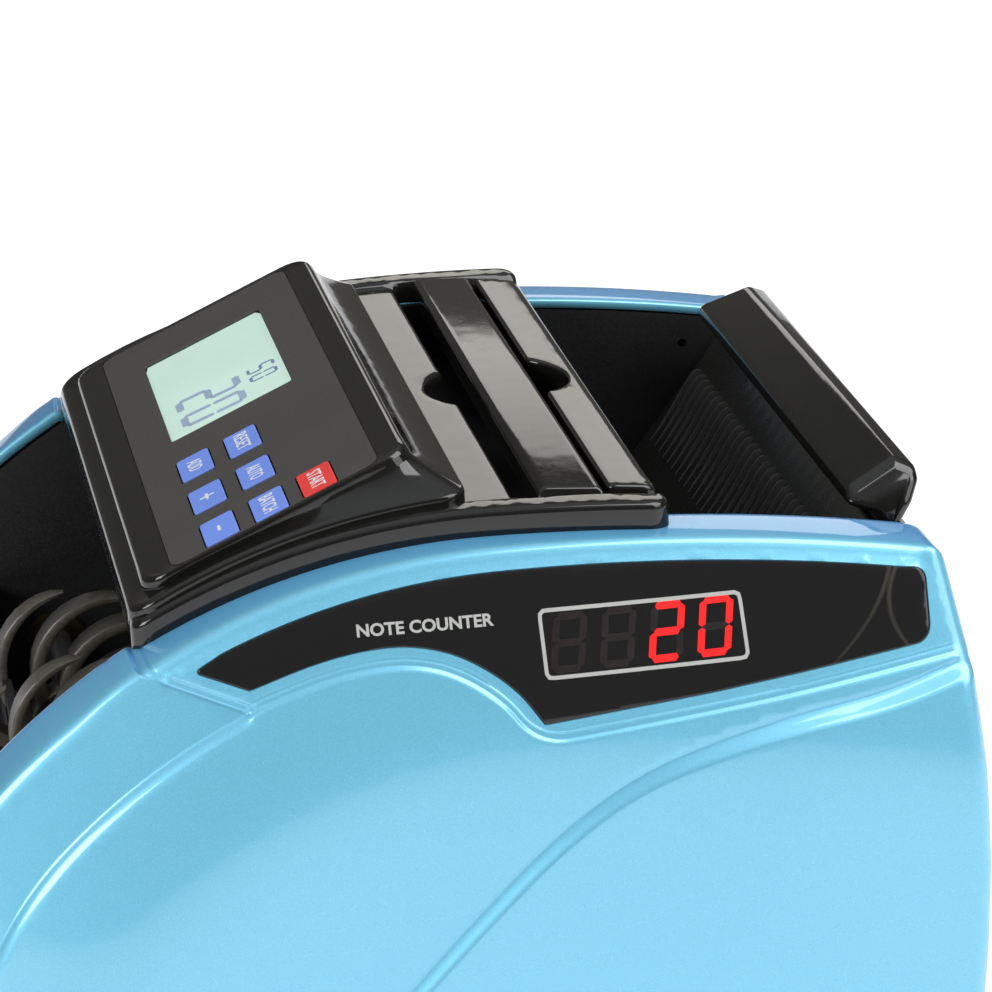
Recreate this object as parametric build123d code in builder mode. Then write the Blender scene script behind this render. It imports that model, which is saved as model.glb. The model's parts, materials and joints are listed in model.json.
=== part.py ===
"""Desktop banknote counter: blue side shells, black top cover with a lift-up carrying handle, a sloping
control head, a rear hopper with a hinged door, friction feed rollers, two finger wheels and a front stacker.

Frame: millimetres, +Z up, the operator stands at -Y and looks along +Y, +X is the operator's right.
The origin is on the table, at the centre of the machine's footprint.
"""

from build123d import *

import os
from math import asin, cos, degrees, radians, sin, sqrt

os.makedirs("parts", exist_ok=True)

# ---------------------------------------------------------------- driving dimensions
PEAK_Y, PEAK_Z = 27.0, 184.0  # highest point of the case arch
FRONT_R, REAR_R, BROW_R = 175.0, 540.0, 110.0  # arch radii: front, rear top, front lower
FRONT_ARC = 43.5  # degrees of the front arc before the tighter lower arc
BASE_Z = 8.0  # underside of the case, on top of the feet
REAR_TOP_Y, REAR_BULGE_Y, REAR_FOOT_Y = 135.0, 142.9, 132.0
REAR_BULGE_Z = 104.0
FRONT_FOOT_Y = -124.0

CAVITY_X = 94.4  # half the clear width between the black inner panels
PANEL_T = 3.0  # inner panel
FRAME_T = 2.0  # steel frame plate, against the inner panel
RIM_X = 112.0  # outer edge of the rim on top of a side shell
FACET_SLOPE = 0.414  # how far the shoulder leans out for each mm below the rim
FACET_DEPTH = 46.0
SIDE_X = 134.0  # half the overall width
WALL = 2.5

COVER_T = 6.5  # top cover above the rim
COVER_REAR_Y, COVER_FRONT_Y = 71.6, -58.7
COVER_REAR_X, COVER_FRONT_X = 106.0, 98.0
SLOT_FRONT_Y, SLOT_REAR_Y = 36.1, 58.2
SLOT_X = 95.6
NOTCH_W, NOTCH_D = 14.0, 7.5  # half width and depth of a finger notch

HANDLE_X = 95.0
HANDLE_LIFT = 28.0
LEG_X, LEG_Y = 83.0, 45.5  # centre of a handle leg
LEG_W, LEG_D = 6.0, 7.0

PAD_FRONT = (-47.1, 177.6)  # front edge of the keypad overlay
PAD_REAR = (4.3, 199.6)
PAD_X = 86.0
PAD_T = 0.8
HEAD_TOP_X, HEAD_FOOT_X = 88.0, 95.5

LCD_X, LCD_S = (-65.5, 2.5), (10.5, 45.2)  # screen across the pad, and up its slope
KEY_W, KEY_H = 15.8, 8.8
KEY_TRAVEL = 0.5
KEYS = {  # centre of each key across the pad and up its slope
    "key_add": (27.2, 14.1),
    "key_plus": (52.4, 14.1),
    "key_minus": (76.9, 14.1),
    "key_reset": (27.6, 27.4),
    "key_auto": (52.7, 27.4),
    "key_batch": (77.4, 27.4),
    "key_start": (77.6, 40.4),
}

IMPELLER = (-65.0, 95.0)
IMPELLER_R, IMPELLER_X, IMPELLER_W = 40.4, 25.0, 9.0
FINGERS = 12
DRIVE = (30.0, 98.0)
DRIVE_R = 17.0
PINCH = (47.9, 119.4)
PINCH_R = 10.6
FEED = (66.0, 99.0)
FEED_R = 13.0
DELIVERY = (25.6, 122.9)
DELIVERY_R = 8.0
MOTOR = (70.0, 40.0)
MOTOR_R = 23.0
SHAFT_R = 4.0
RUN = 0.05  # radial running clearance of a shaft
GAP = 0.4  # clearance between parts that move past each other

DOOR_PIN = (133.5, 66.0)
DOOR_X = 92.0
SLOPE_TOP, SLOPE_FOOT = (128.0, 168.0), (92.0, 123.0)  # ribbed hopper plate
RIB_PITCH, RIB_H = 6.5, 1.3

PAD_LENGTH = sqrt((PAD_REAR[0] - PAD_FRONT[0]) ** 2 + (PAD_REAR[1] - PAD_FRONT[1]) ** 2)
PAD_TILT = degrees(asin((PAD_REAR[1] - PAD_FRONT[1]) / PAD_LENGTH))
PAD_PLANE = Plane(
    origin=(0, *PAD_FRONT),
    x_dir=(1, 0, 0),
    z_dir=(0, -sin(radians(PAD_TILT)), cos(radians(PAD_TILT))),
)


# ---------------------------------------------------------------- shared outlines
def save(part, name):
    """Labels one finished sub-part and writes it to its own file."""
    part.label = name
    export_step(part, f"parts/{name}.step")


def rear_top(inset, y):
    """Height of the rear top arc, inset from the skin, at a given y."""
    return PEAK_Z - REAR_R + sqrt((REAR_R - inset) ** 2 - (y - PEAK_Y) ** 2)


def side_face(inset):
    """The case outline seen from the side, inset from the outer skin, as a face on the YZ plane."""
    with BuildSketch(Plane.YZ) as face:
        with BuildLine():
            front = JernArc((PEAK_Y, PEAK_Z - inset), (-1, 0), FRONT_R - inset, FRONT_ARC)
            brow = JernArc(front @ 1, front % 1, BROW_R - inset, 90 - FRONT_ARC)
            foot = Line(brow @ 1, (FRONT_FOOT_Y + inset, BASE_Z + inset))
            sole = Line(foot @ 1, (REAR_FOOT_Y - inset, BASE_Z + inset))
            back_top = (REAR_TOP_Y - inset, rear_top(inset, REAR_TOP_Y - inset))
            back = ThreePointArc(sole @ 1, (REAR_BULGE_Y - inset, REAR_BULGE_Z), back_top)
            middle = (REAR_TOP_Y - inset + PEAK_Y) / 2
            ThreePointArc(back @ 1, (middle, rear_top(inset, middle)), front @ 0)
        make_face()
    return face.sketch


def arch_path():
    """The arch from well behind the machine, over the top and down the front."""
    reach = degrees(asin((195 - PEAK_Y) / REAR_R))
    start = (195, rear_top(0, 195))
    with BuildLine(Plane.YZ) as path:
        rear = JernArc(start, (-cos(radians(reach)), sin(radians(reach))), REAR_R, reach)
        front = JernArc(rear @ 1, rear % 1, FRONT_R, FRONT_ARC)
        brow = JernArc(front @ 1, front % 1, BROW_R, 90 - FRONT_ARC)
        Line(brow @ 1, (brow @ 1) + Vector(0, 0, -70))
    return path.line


ARCH = arch_path()
ARCH_START = Plane(origin=ARCH @ 0, x_dir=(1, 0, 0), z_dir=ARCH % 0)


def facet_x(depth):
    """Half width of the shoulder at a depth below the rim."""
    return RIM_X + FACET_SLOPE * depth


def outside_of_facet(inward):
    """The band of space outside the leaning shoulder, moved inward by a wall."""
    with BuildPart() as band:
        with BuildSketch(ARCH_START):
            with BuildLine():
                Polyline(
                    (facet_x(-3) - inward, 3),
                    (facet_x(FACET_DEPTH) - inward, -FACET_DEPTH),
                    (SIDE_X - inward, -FACET_DEPTH - 40),
                    (SIDE_X + 20, -FACET_DEPTH - 40),
                    (SIDE_X + 20, 3),
                    close=True,
                )
            make_face()
        sweep(path=ARCH)
    return band.part


def window_face(grow):
    """The outline of the dark display window seen from the side, grown on every side."""
    with BuildSketch(Plane.YZ) as face:
        with BuildLine():
            rim_depth = 5.2
            tip = (-46.3, 162.4)
            top_mid = (PEAK_Y + 4, PEAK_Z - rim_depth)
            rear_end = (129.6, 169.1)
            top_front = ThreePointArc(tip, (-12.0, 175.6), top_mid)
            top_rear = ThreePointArc(top_front @ 1, (82.0, 175.8), rear_end)
            heel = Line(top_rear @ 1, (130.6, 153.9))
            toe = Line(heel @ 1, (34.2, 144.6))
            hollow = ThreePointArc(toe @ 1, (6.4, 163.9), (-33.9, 156.6))
            Line(hollow @ 1, tip)
        make_face()
        rear_corners = face.vertices().sort_by(Axis.X)[-2:]
        fillet(rear_corners, 3.5)
        if grow:
            offset(amount=grow, kind=Kind.ARC)
    return face.sketch


def facet_skin(outer, inner):
    """A strip that follows the leaning shoulder, between two depths measured in from its surface."""
    with BuildPart() as skin:
        with BuildSketch(ARCH_START):
            with BuildLine():
                Polyline(
                    (facet_x(2) - outer, -2),
                    (facet_x(FACET_DEPTH - 1) - outer, 1 - FACET_DEPTH),
                    (facet_x(FACET_DEPTH - 1) - inner, 1 - FACET_DEPTH),
                    (facet_x(2) - inner, -2),
                    close=True,
                )
            make_face()
        sweep(path=ARCH)
    return skin.part


# ---------------------------------------------------------------- side shells and display windows
WINDOW_T = 1.6
LED_PLANE = Plane(
    origin=(facet_x(21.5), 59.2, 161.5),
    x_dir=(0, 0.998, -0.062),
    z_dir=(0.924, 0.0237, 0.382),
)
with BuildPart() as window:
    extrude(window_face(0), amount=SIDE_X)
    add(facet_skin(0.1, WINDOW_T), mode=Mode.INTERSECT)

with BuildPart() as shell_hollow:
    extrude(side_face(WALL), amount=SIDE_X - WALL)
    add(outside_of_facet(WALL * 1.08), mode=Mode.SUBTRACT)

with BuildPart() as right_shell:
    extrude(side_face(0), amount=SIDE_X)
    add(outside_of_facet(0), mode=Mode.SUBTRACT)
    add(shell_hollow.part, mode=Mode.SUBTRACT)
    split(bisect_by=Plane.YZ.offset(CAVITY_X), keep=Keep.TOP)
    pocket = extrude(window_face(0), amount=SIDE_X, mode=Mode.PRIVATE)
    add(pocket & facet_skin(-1.0, WINDOW_T), mode=Mode.SUBTRACT)
    with BuildSketch(Plane.YZ.offset(RIM_X - 6)):
        with Locations((60.5, 161.0)):
            Rectangle(54, 21)
    extrude(amount=30, mode=Mode.SUBTRACT)
    with BuildSketch(LED_PLANE.offset(-9.8)):
        with Locations((-27.5, 9.5), (30.0, 9.5), (-27.5, -9.5), (30.0, -9.5)):
            Circle(1.8)
    extrude(amount=7.5)

with BuildPart() as left_shell:
    extrude(side_face(0), amount=SIDE_X)
    add(outside_of_facet(0), mode=Mode.SUBTRACT)
    add(shell_hollow.part, mode=Mode.SUBTRACT)
    split(bisect_by=Plane.YZ.offset(CAVITY_X), keep=Keep.TOP)
    pocket = extrude(window_face(0), amount=SIDE_X, mode=Mode.PRIVATE)
    add(pocket & facet_skin(-1.0, WINDOW_T), mode=Mode.SUBTRACT)
    mirror(about=Plane.YZ, mode=Mode.REPLACE)

save(right_shell.part, "right_side_shell")
save(left_shell.part, "left_side_shell")
save(window.part, "right_display_window")
save(mirror(window.part, about=Plane.YZ), "left_trim_window")


# ---------------------------------------------------------------- small building helpers
def block(x, y, z, mode=Mode.ADD):
    """A box between two values on each axis, added to the part being built."""
    with Locations(((x[0] + x[1]) / 2, (y[0] + y[1]) / 2, (z[0] + z[1]) / 2)):
        Box(x[1] - x[0], y[1] - y[0], z[1] - z[0], mode=mode)


def bar(at, x_from, x_to, radius, mode=Mode.ADD):
    """A round bar along X through a (y, z) point."""
    with BuildSketch(Plane.YZ.offset(x_from)) as end:
        with Locations(at):
            Circle(radius)
    extrude(end.sketch, amount=x_to - x_from, mode=mode)


def strip(points, thickness, x_from, x_to, bend=6.0, mode=Mode.ADD):
    """A bent sheet: a centre line of (y, z) points given a thickness and run from x_from to x_to."""
    with BuildSketch(Plane.YZ.offset(x_from)) as edge:
        with BuildLine():
            if len(points) > 2:
                FilletPolyline(*points, radius=bend)
            else:
                Line(*points)
        trace(line_width=thickness)
    extrude(edge.sketch, amount=x_to - x_from, mode=mode)


def outline(points, x_from, x_to, mode=Mode.ADD):
    """A straight-sided solid: a closed (y, z) outline run from x_from to x_to."""
    with BuildSketch(Plane.YZ.offset(x_from)) as edge:
        with BuildLine():
            Polyline(*points, close=True)
        make_face()
    extrude(edge.sketch, amount=x_to - x_from, mode=mode)


def pad_point(s, n):
    """The (y, z) of a point up the keypad slope and out of its face."""
    tilt = radians(PAD_TILT)
    return (PAD_FRONT[0] + s * cos(tilt) - n * sin(tilt), PAD_FRONT[1] + s * sin(tilt) + n * cos(tilt))


def pad_block(x, s, n, mode=Mode.ADD, corner=0.0):
    """A box lying in the sloping keypad plane: across, up the slope, and out of the face."""
    with BuildSketch(PAD_PLANE.offset(n[0])) as base:
        with Locations(((x[0] + x[1]) / 2, (s[0] + s[1]) / 2)):
            if corner:
                RectangleRounded(x[1] - x[0], s[1] - s[0], corner)
            else:
                Rectangle(x[1] - x[0], s[1] - s[0])
    extrude(base.sketch, amount=n[1] - n[0], mode=mode)


# ---------------------------------------------------------------- inner panels and frame plates
SHAFTS = (IMPELLER, DRIVE, PINCH, FEED, DELIVERY)
BEARING_R = 7.0

with BuildPart() as inner_panel:
    extrude(side_face(WALL), amount=PANEL_T)
    for place in SHAFTS:
        bar(place, -1, PANEL_T + 1, BEARING_R, Mode.SUBTRACT)
    bar(DOOR_PIN, -1, PANEL_T + 1, 3 + RUN, Mode.SUBTRACT)
    bar(MOTOR, -1, PANEL_T + 1, 7, Mode.SUBTRACT)
    with BuildSketch(Plane.YZ):
        with Locations((117.6, 164.8)):
            Circle(1.3)
        with Locations((-100, 62)):
            SlotOverall(34, 8, rotation=60)
    extrude(amount=PANEL_T, mode=Mode.SUBTRACT)

with BuildPart() as frame_plate:
    with BuildSketch(Plane.YZ) as plate_outline:
        with BuildLine():
            Polyline((-100, 11), (112, 11), (112, 120), (70, 150), (8, 150), (-60, 135), (-100, 105), close=True)
        make_face()
        fillet(plate_outline.vertices(), 8)
    extrude(amount=FRAME_T)
    for place in SHAFTS:
        bar(place, -1, FRAME_T + 1, BEARING_R, Mode.SUBTRACT)
    with BuildSketch(Plane.YZ):
        with Locations((-20, 60)):
            RectangleRounded(44, 24, 5)
        with Locations(MOTOR):
            Circle(7)
        with Locations((96, 100), (-86, 30), (100, 24), (-20, 124), (50, 136)):
            Circle(2.2)
    extrude(amount=FRAME_T, mode=Mode.SUBTRACT)

save(inner_panel.part.moved(Location((CAVITY_X, 0, 0))), "right_inner_panel")
save(inner_panel.part.moved(Location((-CAVITY_X - PANEL_T, 0, 0))), "left_inner_panel")
save(frame_plate.part.moved(Location((CAVITY_X + PANEL_T, 0, 0))), "right_frame_plate")
save(frame_plate.part.moved(Location((-CAVITY_X - PANEL_T - FRAME_T, 0, 0))), "left_frame_plate")


# ---------------------------------------------------------------- top cover
with BuildPart() as cover:
    extrude(side_face(-COVER_T), amount=COVER_REAR_X, both=True)
    extrude(side_face(0), amount=COVER_REAR_X, both=True, mode=Mode.SUBTRACT)
    with BuildSketch(Plane.XY.offset(150)) as plan:
        with BuildLine():
            Polyline(
                (-COVER_FRONT_X, COVER_FRONT_Y),
                (COVER_FRONT_X, COVER_FRONT_Y),
                (COVER_REAR_X, COVER_REAR_Y),
                (-COVER_REAR_X, COVER_REAR_Y),
                close=True,
            )
        make_face()
        fillet(plan.vertices().group_by(Axis.Y)[-1], 7)
        fillet(plan.vertices().group_by(Axis.Y)[0], 3)
    extrude(amount=60, mode=Mode.INTERSECT)
    rounded = cover.edges().group_by(Axis.Z)[-1]
    block((-SLOT_X, SLOT_X), (SLOT_FRONT_Y, 90), (150, 220), Mode.SUBTRACT)
    block((-88, 88), (-46, 12), (140, 220), Mode.SUBTRACT)
    with Locations((0, 48.2, 185)):
        Cylinder(18.5, 40, mode=Mode.SUBTRACT)
save(cover.part, "top_cover")

# ---------------------------------------------------------------- control head
with BuildPart() as head:
    with BuildSketch(Plane.YZ) as head_side:
        with BuildLine():
            Polyline((-58.7, 150), (-58.7, 162.4), (-55.4, 173.7), (11.7, 202.6), (24.5, 188.5), (24.5, 150), close=True)
        make_face()
        fillet(head_side.vertices().group_by(Axis.Y)[2], 2.5)
        fillet(head_side.vertices().group_by(Axis.Y)[3], 3)
    extrude(amount=HEAD_FOOT_X, both=True)
    with BuildSketch(Plane(origin=(0, *PAD_FRONT), x_dir=(-1, 0, 0), z_dir=PAD_PLANE.y_dir).offset(-45)) as taper:
        with BuildLine():
            Polyline(
                (-HEAD_TOP_X, 12),
                (HEAD_TOP_X, 12),
                (HEAD_TOP_X, 0),
                (HEAD_FOOT_X, -24),
                (HEAD_FOOT_X, -90),
                (-HEAD_FOOT_X, -90),
                (-HEAD_FOOT_X, -24),
                (-HEAD_TOP_X, 0),
                close=True,
            )
        make_face()
    extrude(amount=150, mode=Mode.INTERSECT)
    extrude(side_face(-COVER_T), amount=HEAD_FOOT_X + 1, both=True, mode=Mode.SUBTRACT)
    hollow = ((-54.0, 140), (-54.0, 165), pad_point(-4.5, -3), pad_point(61, -3), (19.0, 187.5), (19.0, 140))
    outline(hollow, -86.7, 86.7, Mode.SUBTRACT)
    for corner in ((-78, 51.5), (8.5, 51.5), (40, 20.8), (64.8, 20.8), (40, 38)):
        pad_block((corner[0] - 2, corner[0] + 2), (corner[1] - 2, corner[1] + 2), (-8, -3))
    pad_block((-PAD_X, PAD_X), (0, PAD_LENGTH), (-PAD_T, 3), Mode.SUBTRACT, 4)
    pad_block(LCD_X, LCD_S, (-8, 1), Mode.SUBTRACT)
    for place in KEYS.values():
        reach = (KEY_W / 2 + 0.4, KEY_H / 2 + 0.4)
        pad_block(
            (place[0] - reach[0], place[0] + reach[0]), (place[1] - reach[1], place[1] + reach[1]), (-5, 1), Mode.SUBTRACT
        )

save(head.part, "control_head")

with BuildPart() as overlay:
    pad_block((-PAD_X, PAD_X), (0, PAD_LENGTH), (-PAD_T, 0), corner=4)
    pad_block(LCD_X, LCD_S, (-2, 1), Mode.SUBTRACT, 1)
    for place in KEYS.values():
        reach = (KEY_W / 2 + 0.4, KEY_H / 2 + 0.4)
        pad_block(
            (place[0] - reach[0], place[0] + reach[0]), (place[1] - reach[1], place[1] + reach[1]), (-2, 1), Mode.SUBTRACT, 1.2
        )
save(overlay.part, "keypad_overlay")

with BuildPart() as screen:
    pad_block((LCD_X[0] - 2, LCD_X[1] + 2), (LCD_S[0] - 2, LCD_S[1] + 2), (-8.0, -3.0))
    pad_block(LCD_X, LCD_S, (-4, -1.0))
save(screen.part, "lcd_module")

with BuildPart() as key_board:
    pad_block((14, 85), (6, 48), (-9.6, -8.0))
    for place in KEYS.values():
        pad_block((place[0] - 3, place[0] + 3), (place[1] - 3, place[1] + 3), (-8.0, -5.0))
save(key_board.part, "keypad_board")

for name, place in KEYS.items():
    with BuildPart() as key:
        pad_block(
            (place[0] - KEY_W / 2, place[0] + KEY_W / 2),
            (place[1] - KEY_H / 2, place[1] + KEY_H / 2),
            (-3.4, 0.25),
            corner=1.0,
        )
        fillet(key.faces().sort_by(Axis(PAD_PLANE.origin, PAD_PLANE.z_dir))[-1].edges(), 0.2)
        pad_block(
            (place[0] - KEY_W / 2 - 0.6, place[0] + KEY_W / 2 + 0.6),
            (place[1] - KEY_H / 2 - 0.6, place[1] + KEY_H / 2 + 0.6),
            (-4.2, -3.4),
        )
    save(key.part, name)

# ---------------------------------------------------------------- carrying handle and its well
with BuildPart() as well:
    extrude(side_face(0), amount=CAVITY_X, both=True)
    block((-120, 120), (28, 59.3), (168, 200), Mode.INTERSECT)
    block((-92, 92), (30.5, 70), (170.5, 200), Mode.SUBTRACT)
    for side in (-1, 1):
        block((side * LEG_X - 6, side * LEG_X + 6), (38, 53), (134, 168))
        block((side * LEG_X - 6, side * LEG_X + 6), (38, 53), (168, 172))
        leg_hole = (LEG_W / 2 + GAP, LEG_D / 2 + GAP)
        block(
            (side * LEG_X - leg_hole[0], side * LEG_X + leg_hole[0]),
            (LEG_Y - leg_hole[1], LEG_Y + leg_hole[1]),
            (130, 175),
            Mode.SUBTRACT,
        )
save(well.part, "handle_well")

with BuildPart() as handle:
    outline(((41.3, 183.9), (41.3, 190.2), (42.4, 191.3), (56.2, 190.1), (57.4, 188.9), (57.4, 183.9)), -HANDLE_X, HANDLE_X)
    chamfer(handle.edges().filter_by(Axis.Z), 1.0)
    for side in (-1, 1):
        block((side * LEG_X - LEG_W / 2, side * LEG_X + LEG_W / 2), (LEG_Y - LEG_D / 2, LEG_Y + LEG_D / 2), (132, 186))
save(handle.part, "carry_handle")

# ---------------------------------------------------------------- hopper
with BuildPart() as hopper_wall:
    outline(((58.6, 184.3), (58.6, 188.9), (59.4, 189.8), (69.4, 188.5), (71.3, 186.2), (70.6, 182.9)), -92.5, 92.5)
    chamfer(hopper_wall.edges().filter_by(Axis.Z), 1.2)
    with Locations((0, 49.8, 186)):
        Cylinder(16.9, 20, mode=Mode.SUBTRACT)
    strip(((66, 184.5), (63.2, 165), (58, 132)), 2.4, -CAVITY_X, CAVITY_X, 20)
save(hopper_wall.part, "hopper_front_wall")

with BuildPart() as feed_table:
    strip(((90, 118.6), (72, 109.0), (56, 109.0)), 2.4, -CAVITY_X, CAVITY_X, 10)
    for side in (-1, 1):
        block((side * 28 - 8.0, side * 28 + 8.0), (50, 80.5), (100, 125), Mode.SUBTRACT)
    block((-6, 6), (61, 71), (103.6, 107.8))
save(feed_table.part, "feed_table")

# ---------------------------------------------------------------- rear door, on its own hinge
slope_y, slope_z = SLOPE_TOP[0] - SLOPE_FOOT[0], SLOPE_TOP[1] - SLOPE_FOOT[1]
slope_len = sqrt(slope_y**2 + slope_z**2)
slope = Plane(origin=(0, *SLOPE_FOOT), x_dir=(1, 0, 0), z_dir=(0, -slope_z / slope_len, slope_y / slope_len))
PLATE_T = 2.4
under_shift = (PLATE_T * slope_z / slope_len, -PLATE_T * slope_y / slope_len)
under_foot = (SLOPE_FOOT[0] + under_shift[0] + 1.6, SLOPE_FOOT[1] + under_shift[1] + 1.6 * slope_z / slope_y)
under_top = (SLOPE_TOP[0] + under_shift[0] - 1.6, SLOPE_TOP[1] + under_shift[1] - 1.6 * slope_z / slope_y)

with BuildPart() as door:
    extrude(side_face(0.4), amount=DOOR_X, both=True)
    extrude(side_face(3.2), amount=DOOR_X, both=True, mode=Mode.SUBTRACT)
    block((-DOOR_X, DOOR_X), (126, 150), (66, 168.5), Mode.INTERSECT)
    bar(DOOR_PIN, -DOOR_X, DOOR_X, 4.5)
    block((-DOOR_X, DOOR_X), (DOOR_PIN[0], 139.0), (66, 70.4))
    bar(DOOR_PIN, -CAVITY_X - PANEL_T, CAVITY_X + PANEL_T, 3)
    for side in (-1, 1):
        outline((under_foot, under_top, (141, 158), (141, 96), (134, 96)), side * 84 - 1.2, side * 84 + 1.2)
    extrude(side_face(0.4), amount=CAVITY_X + PANEL_T, both=True, mode=Mode.INTERSECT)
save(door.part, "rear_door")

with BuildPart() as plate:
    with BuildSketch(slope):
        with Locations((0, slope_len / 2)):
            Rectangle(2 * DOOR_X, slope_len)
    extrude(amount=-PLATE_T)
    with BuildSketch(slope):
        for rib in range(-13, 14):
            with Locations((rib * RIB_PITCH, slope_len / 2 + 1.5)):
                SlotOverall(slope_len - 5, 1.8, rotation=90)
    extrude(amount=RIB_H)
save(plate.part, "hopper_plate")

with BuildPart() as grip:
    with BuildSketch(Plane.YZ) as grip_side:
        with BuildLine():
            Polyline(
                (119.6, 176.0), (120.6, 179.0), (133.0, 185.0), (137.6, 182.8), (137.8, 180.6),
                (135.6, 173.0), (135.6, 168.5), (128.6, 168.5), (126.6, 173.2), close=True,
            )
        make_face()
        fillet(grip_side.vertices().sort_by(Axis.Z)[-3:], 1.2)
    extrude(amount=86.4, both=True)
    for side in (-1, 1):
        outline_top = ((side * 89, 174.0), (side * 86.5, 175.0), (side * 78.4, 186.0), (side * 89, 186.0))
        with BuildSketch(Plane.XZ.offset(-100)):
            with BuildLine():
                Polyline(*outline_top, close=True)
            make_face()
        extrude(amount=-50, mode=Mode.SUBTRACT)
save(grip.part, "rear_grip_bar")

# ---------------------------------------------------------------- shafts, rollers and finger wheels
def pulley(at, x_mid, groove):
    """A flanged belt pulley on a shaft: two flanges and a groove between them."""
    bar(at, x_mid - 2.5, x_mid - 1.5, groove + 2.0)
    bar(at, x_mid - 1.5, x_mid + 1.5, groove)
    bar(at, x_mid + 1.5, x_mid + 2.5, groove + 2.0)


BELT_X = (104.5, 110.5, 116.5)  # motor belt, feed belt, finger wheel belt
MOTOR_GROOVE, DRIVE_GROOVE, FEED_GROOVE, WHEEL_GROOVE, WHEEL_DRIVE_GROOVE = 5.0, 10.0, 8.0, 12.0, 6.0

with BuildPart() as drive_shaft:
    bar(DRIVE, -101.5, 119.5, SHAFT_R)
    pulley(DRIVE, BELT_X[0], DRIVE_GROOVE)
    pulley(DRIVE, BELT_X[1], FEED_GROOVE)
    pulley(DRIVE, BELT_X[2], WHEEL_DRIVE_GROOVE)
save(drive_shaft.part, "drive_shaft")

with BuildPart() as feed_shaft:
    bar(FEED, -101.5, 113.5, SHAFT_R)
    pulley(FEED, BELT_X[1], FEED_GROOVE)
save(feed_shaft.part, "feed_shaft")

with BuildPart() as wheel_shaft:
    bar(IMPELLER, -101.5, 119.5, SHAFT_R)
    pulley(IMPELLER, BELT_X[2], WHEEL_GROOVE)
save(wheel_shaft.part, "finger_wheel_shaft")

with BuildPart() as motor_shaft:
    bar(MOTOR, 70, 107.5, 3)
    pulley(MOTOR, BELT_X[0], MOTOR_GROOVE)
save(motor_shaft.part, "motor_shaft")

with BuildPart() as pinch_shaft:
    bar(PINCH, -101.5, 101.5, SHAFT_R)
save(pinch_shaft.part, "pinch_shaft")

with BuildPart() as delivery_shaft:
    bar(DELIVERY, -101.5, 101.5, SHAFT_R)
save(delivery_shaft.part, "delivery_shaft")


def roller_set(at, radius, width, centres):
    """Rollers on one shaft: grooved tyres with a bore that fits the shaft."""
    for middle in centres:
        bar(at, middle - width / 2, middle + width / 2, radius)
        bar(at, middle - 0.8, middle + 0.8, radius + 1, Mode.SUBTRACT)
        bar(at, middle - 0.8, middle + 0.8, radius - 1.2)
        bar(at, middle - width / 2, middle + width / 2, SHAFT_R, Mode.SUBTRACT)


with BuildPart() as drive_rollers:
    roller_set(DRIVE, DRIVE_R, 24, (-28, 28))
save(drive_rollers.part, "drive_rollers")
with BuildPart() as feed_rollers:
    roller_set(FEED, FEED_R, 14, (-28, 28))
save(feed_rollers.part, "feed_rollers")
with BuildPart() as pinch_rollers:
    roller_set(PINCH, PINCH_R, 10, (-28, 28))
save(pinch_rollers.part, "pinch_rollers")
with BuildPart() as delivery_rollers:
    roller_set(DELIVERY, DELIVERY_R, 12, (-62, -28, 28, 62))
save(delivery_rollers.part, "delivery_rollers")

with BuildSketch() as finger:
    with BuildLine():
        ThreePointArc(
            Vector(12.5, 0).rotate(Axis.Z, 74),
            Vector(29.0, 0).rotate(Axis.Z, 42),
            Vector(IMPELLER_R - 0.8, 0),
        )
    trace(line_width=1.7)

with BuildPart() as finger_wheels:
    for side in (-1, 1):
        with BuildSketch(Plane.YZ.offset(side * IMPELLER_X - IMPELLER_W / 2)):
            with Locations(IMPELLER):
                Circle(14)
                with PolarLocations(0, FINGERS):
                    add(finger.sketch)
                Circle(SHAFT_R, mode=Mode.SUBTRACT)
        extrude(amount=IMPELLER_W)
save(finger_wheels.part, "finger_wheels")

with BuildPart() as bearings:
    for side in (-1, 1):
        inner, outer = side * CAVITY_X, side * (CAVITY_X + PANEL_T + FRAME_T)
        for at in SHAFTS:
            bar(at, min(inner, outer), max(inner, outer), BEARING_R)
            flange = side * (CAVITY_X - 1.5)
            bar(at, min(inner, flange), max(inner, flange), BEARING_R + 1.6)
            bar(at, min(flange, outer), max(flange, outer), SHAFT_R + RUN, Mode.SUBTRACT)
save(bearings.part, "shaft_bearings")

with BuildPart() as belts:
    runs = (
        (BELT_X[0], MOTOR, MOTOR_GROOVE, DRIVE, DRIVE_GROOVE),
        (BELT_X[1], DRIVE, FEED_GROOVE, FEED, FEED_GROOVE),
        (BELT_X[2], DRIVE, WHEEL_DRIVE_GROOVE, IMPELLER, WHEEL_GROOVE),
    )
    for x_mid, here, groove_here, there, groove_there in runs:
        for extra, mode in ((1.6, Mode.ADD), (0.3, Mode.SUBTRACT)):
            with BuildSketch(Plane.YZ.offset(x_mid - 1.1)) as loop:
                with Locations(here):
                    Circle(groove_here + extra)
                with Locations(there):
                    Circle(groove_there + extra)
                make_hull()
            extrude(loop.sketch, amount=2.2, mode=mode)
save(belts.part, "drive_belts")

# ---------------------------------------------------------------- note path and stacker
with BuildPart() as upper_guide:
    strip(((14, 134), (-2, 125), (-20, 121.5)), 1.8, -CAVITY_X, CAVITY_X, 12)
    for rib in range(-6, 7):
        strip(((11, 130.2), (-2, 122.9), (-19, 119.6)), 2.0, rib * 13.5 - 0.8, rib * 13.5 + 0.8, 12)
save(upper_guide.part, "upper_note_guide")

with BuildPart() as lower_guide:
    strip(((10, 107), (-5, 101.5), (-21, 97)), 1.8, -CAVITY_X, CAVITY_X, 12)
    block((-5, 5), (-14, -6), (93, 99))
save(lower_guide.part, "lower_note_guide")

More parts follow.
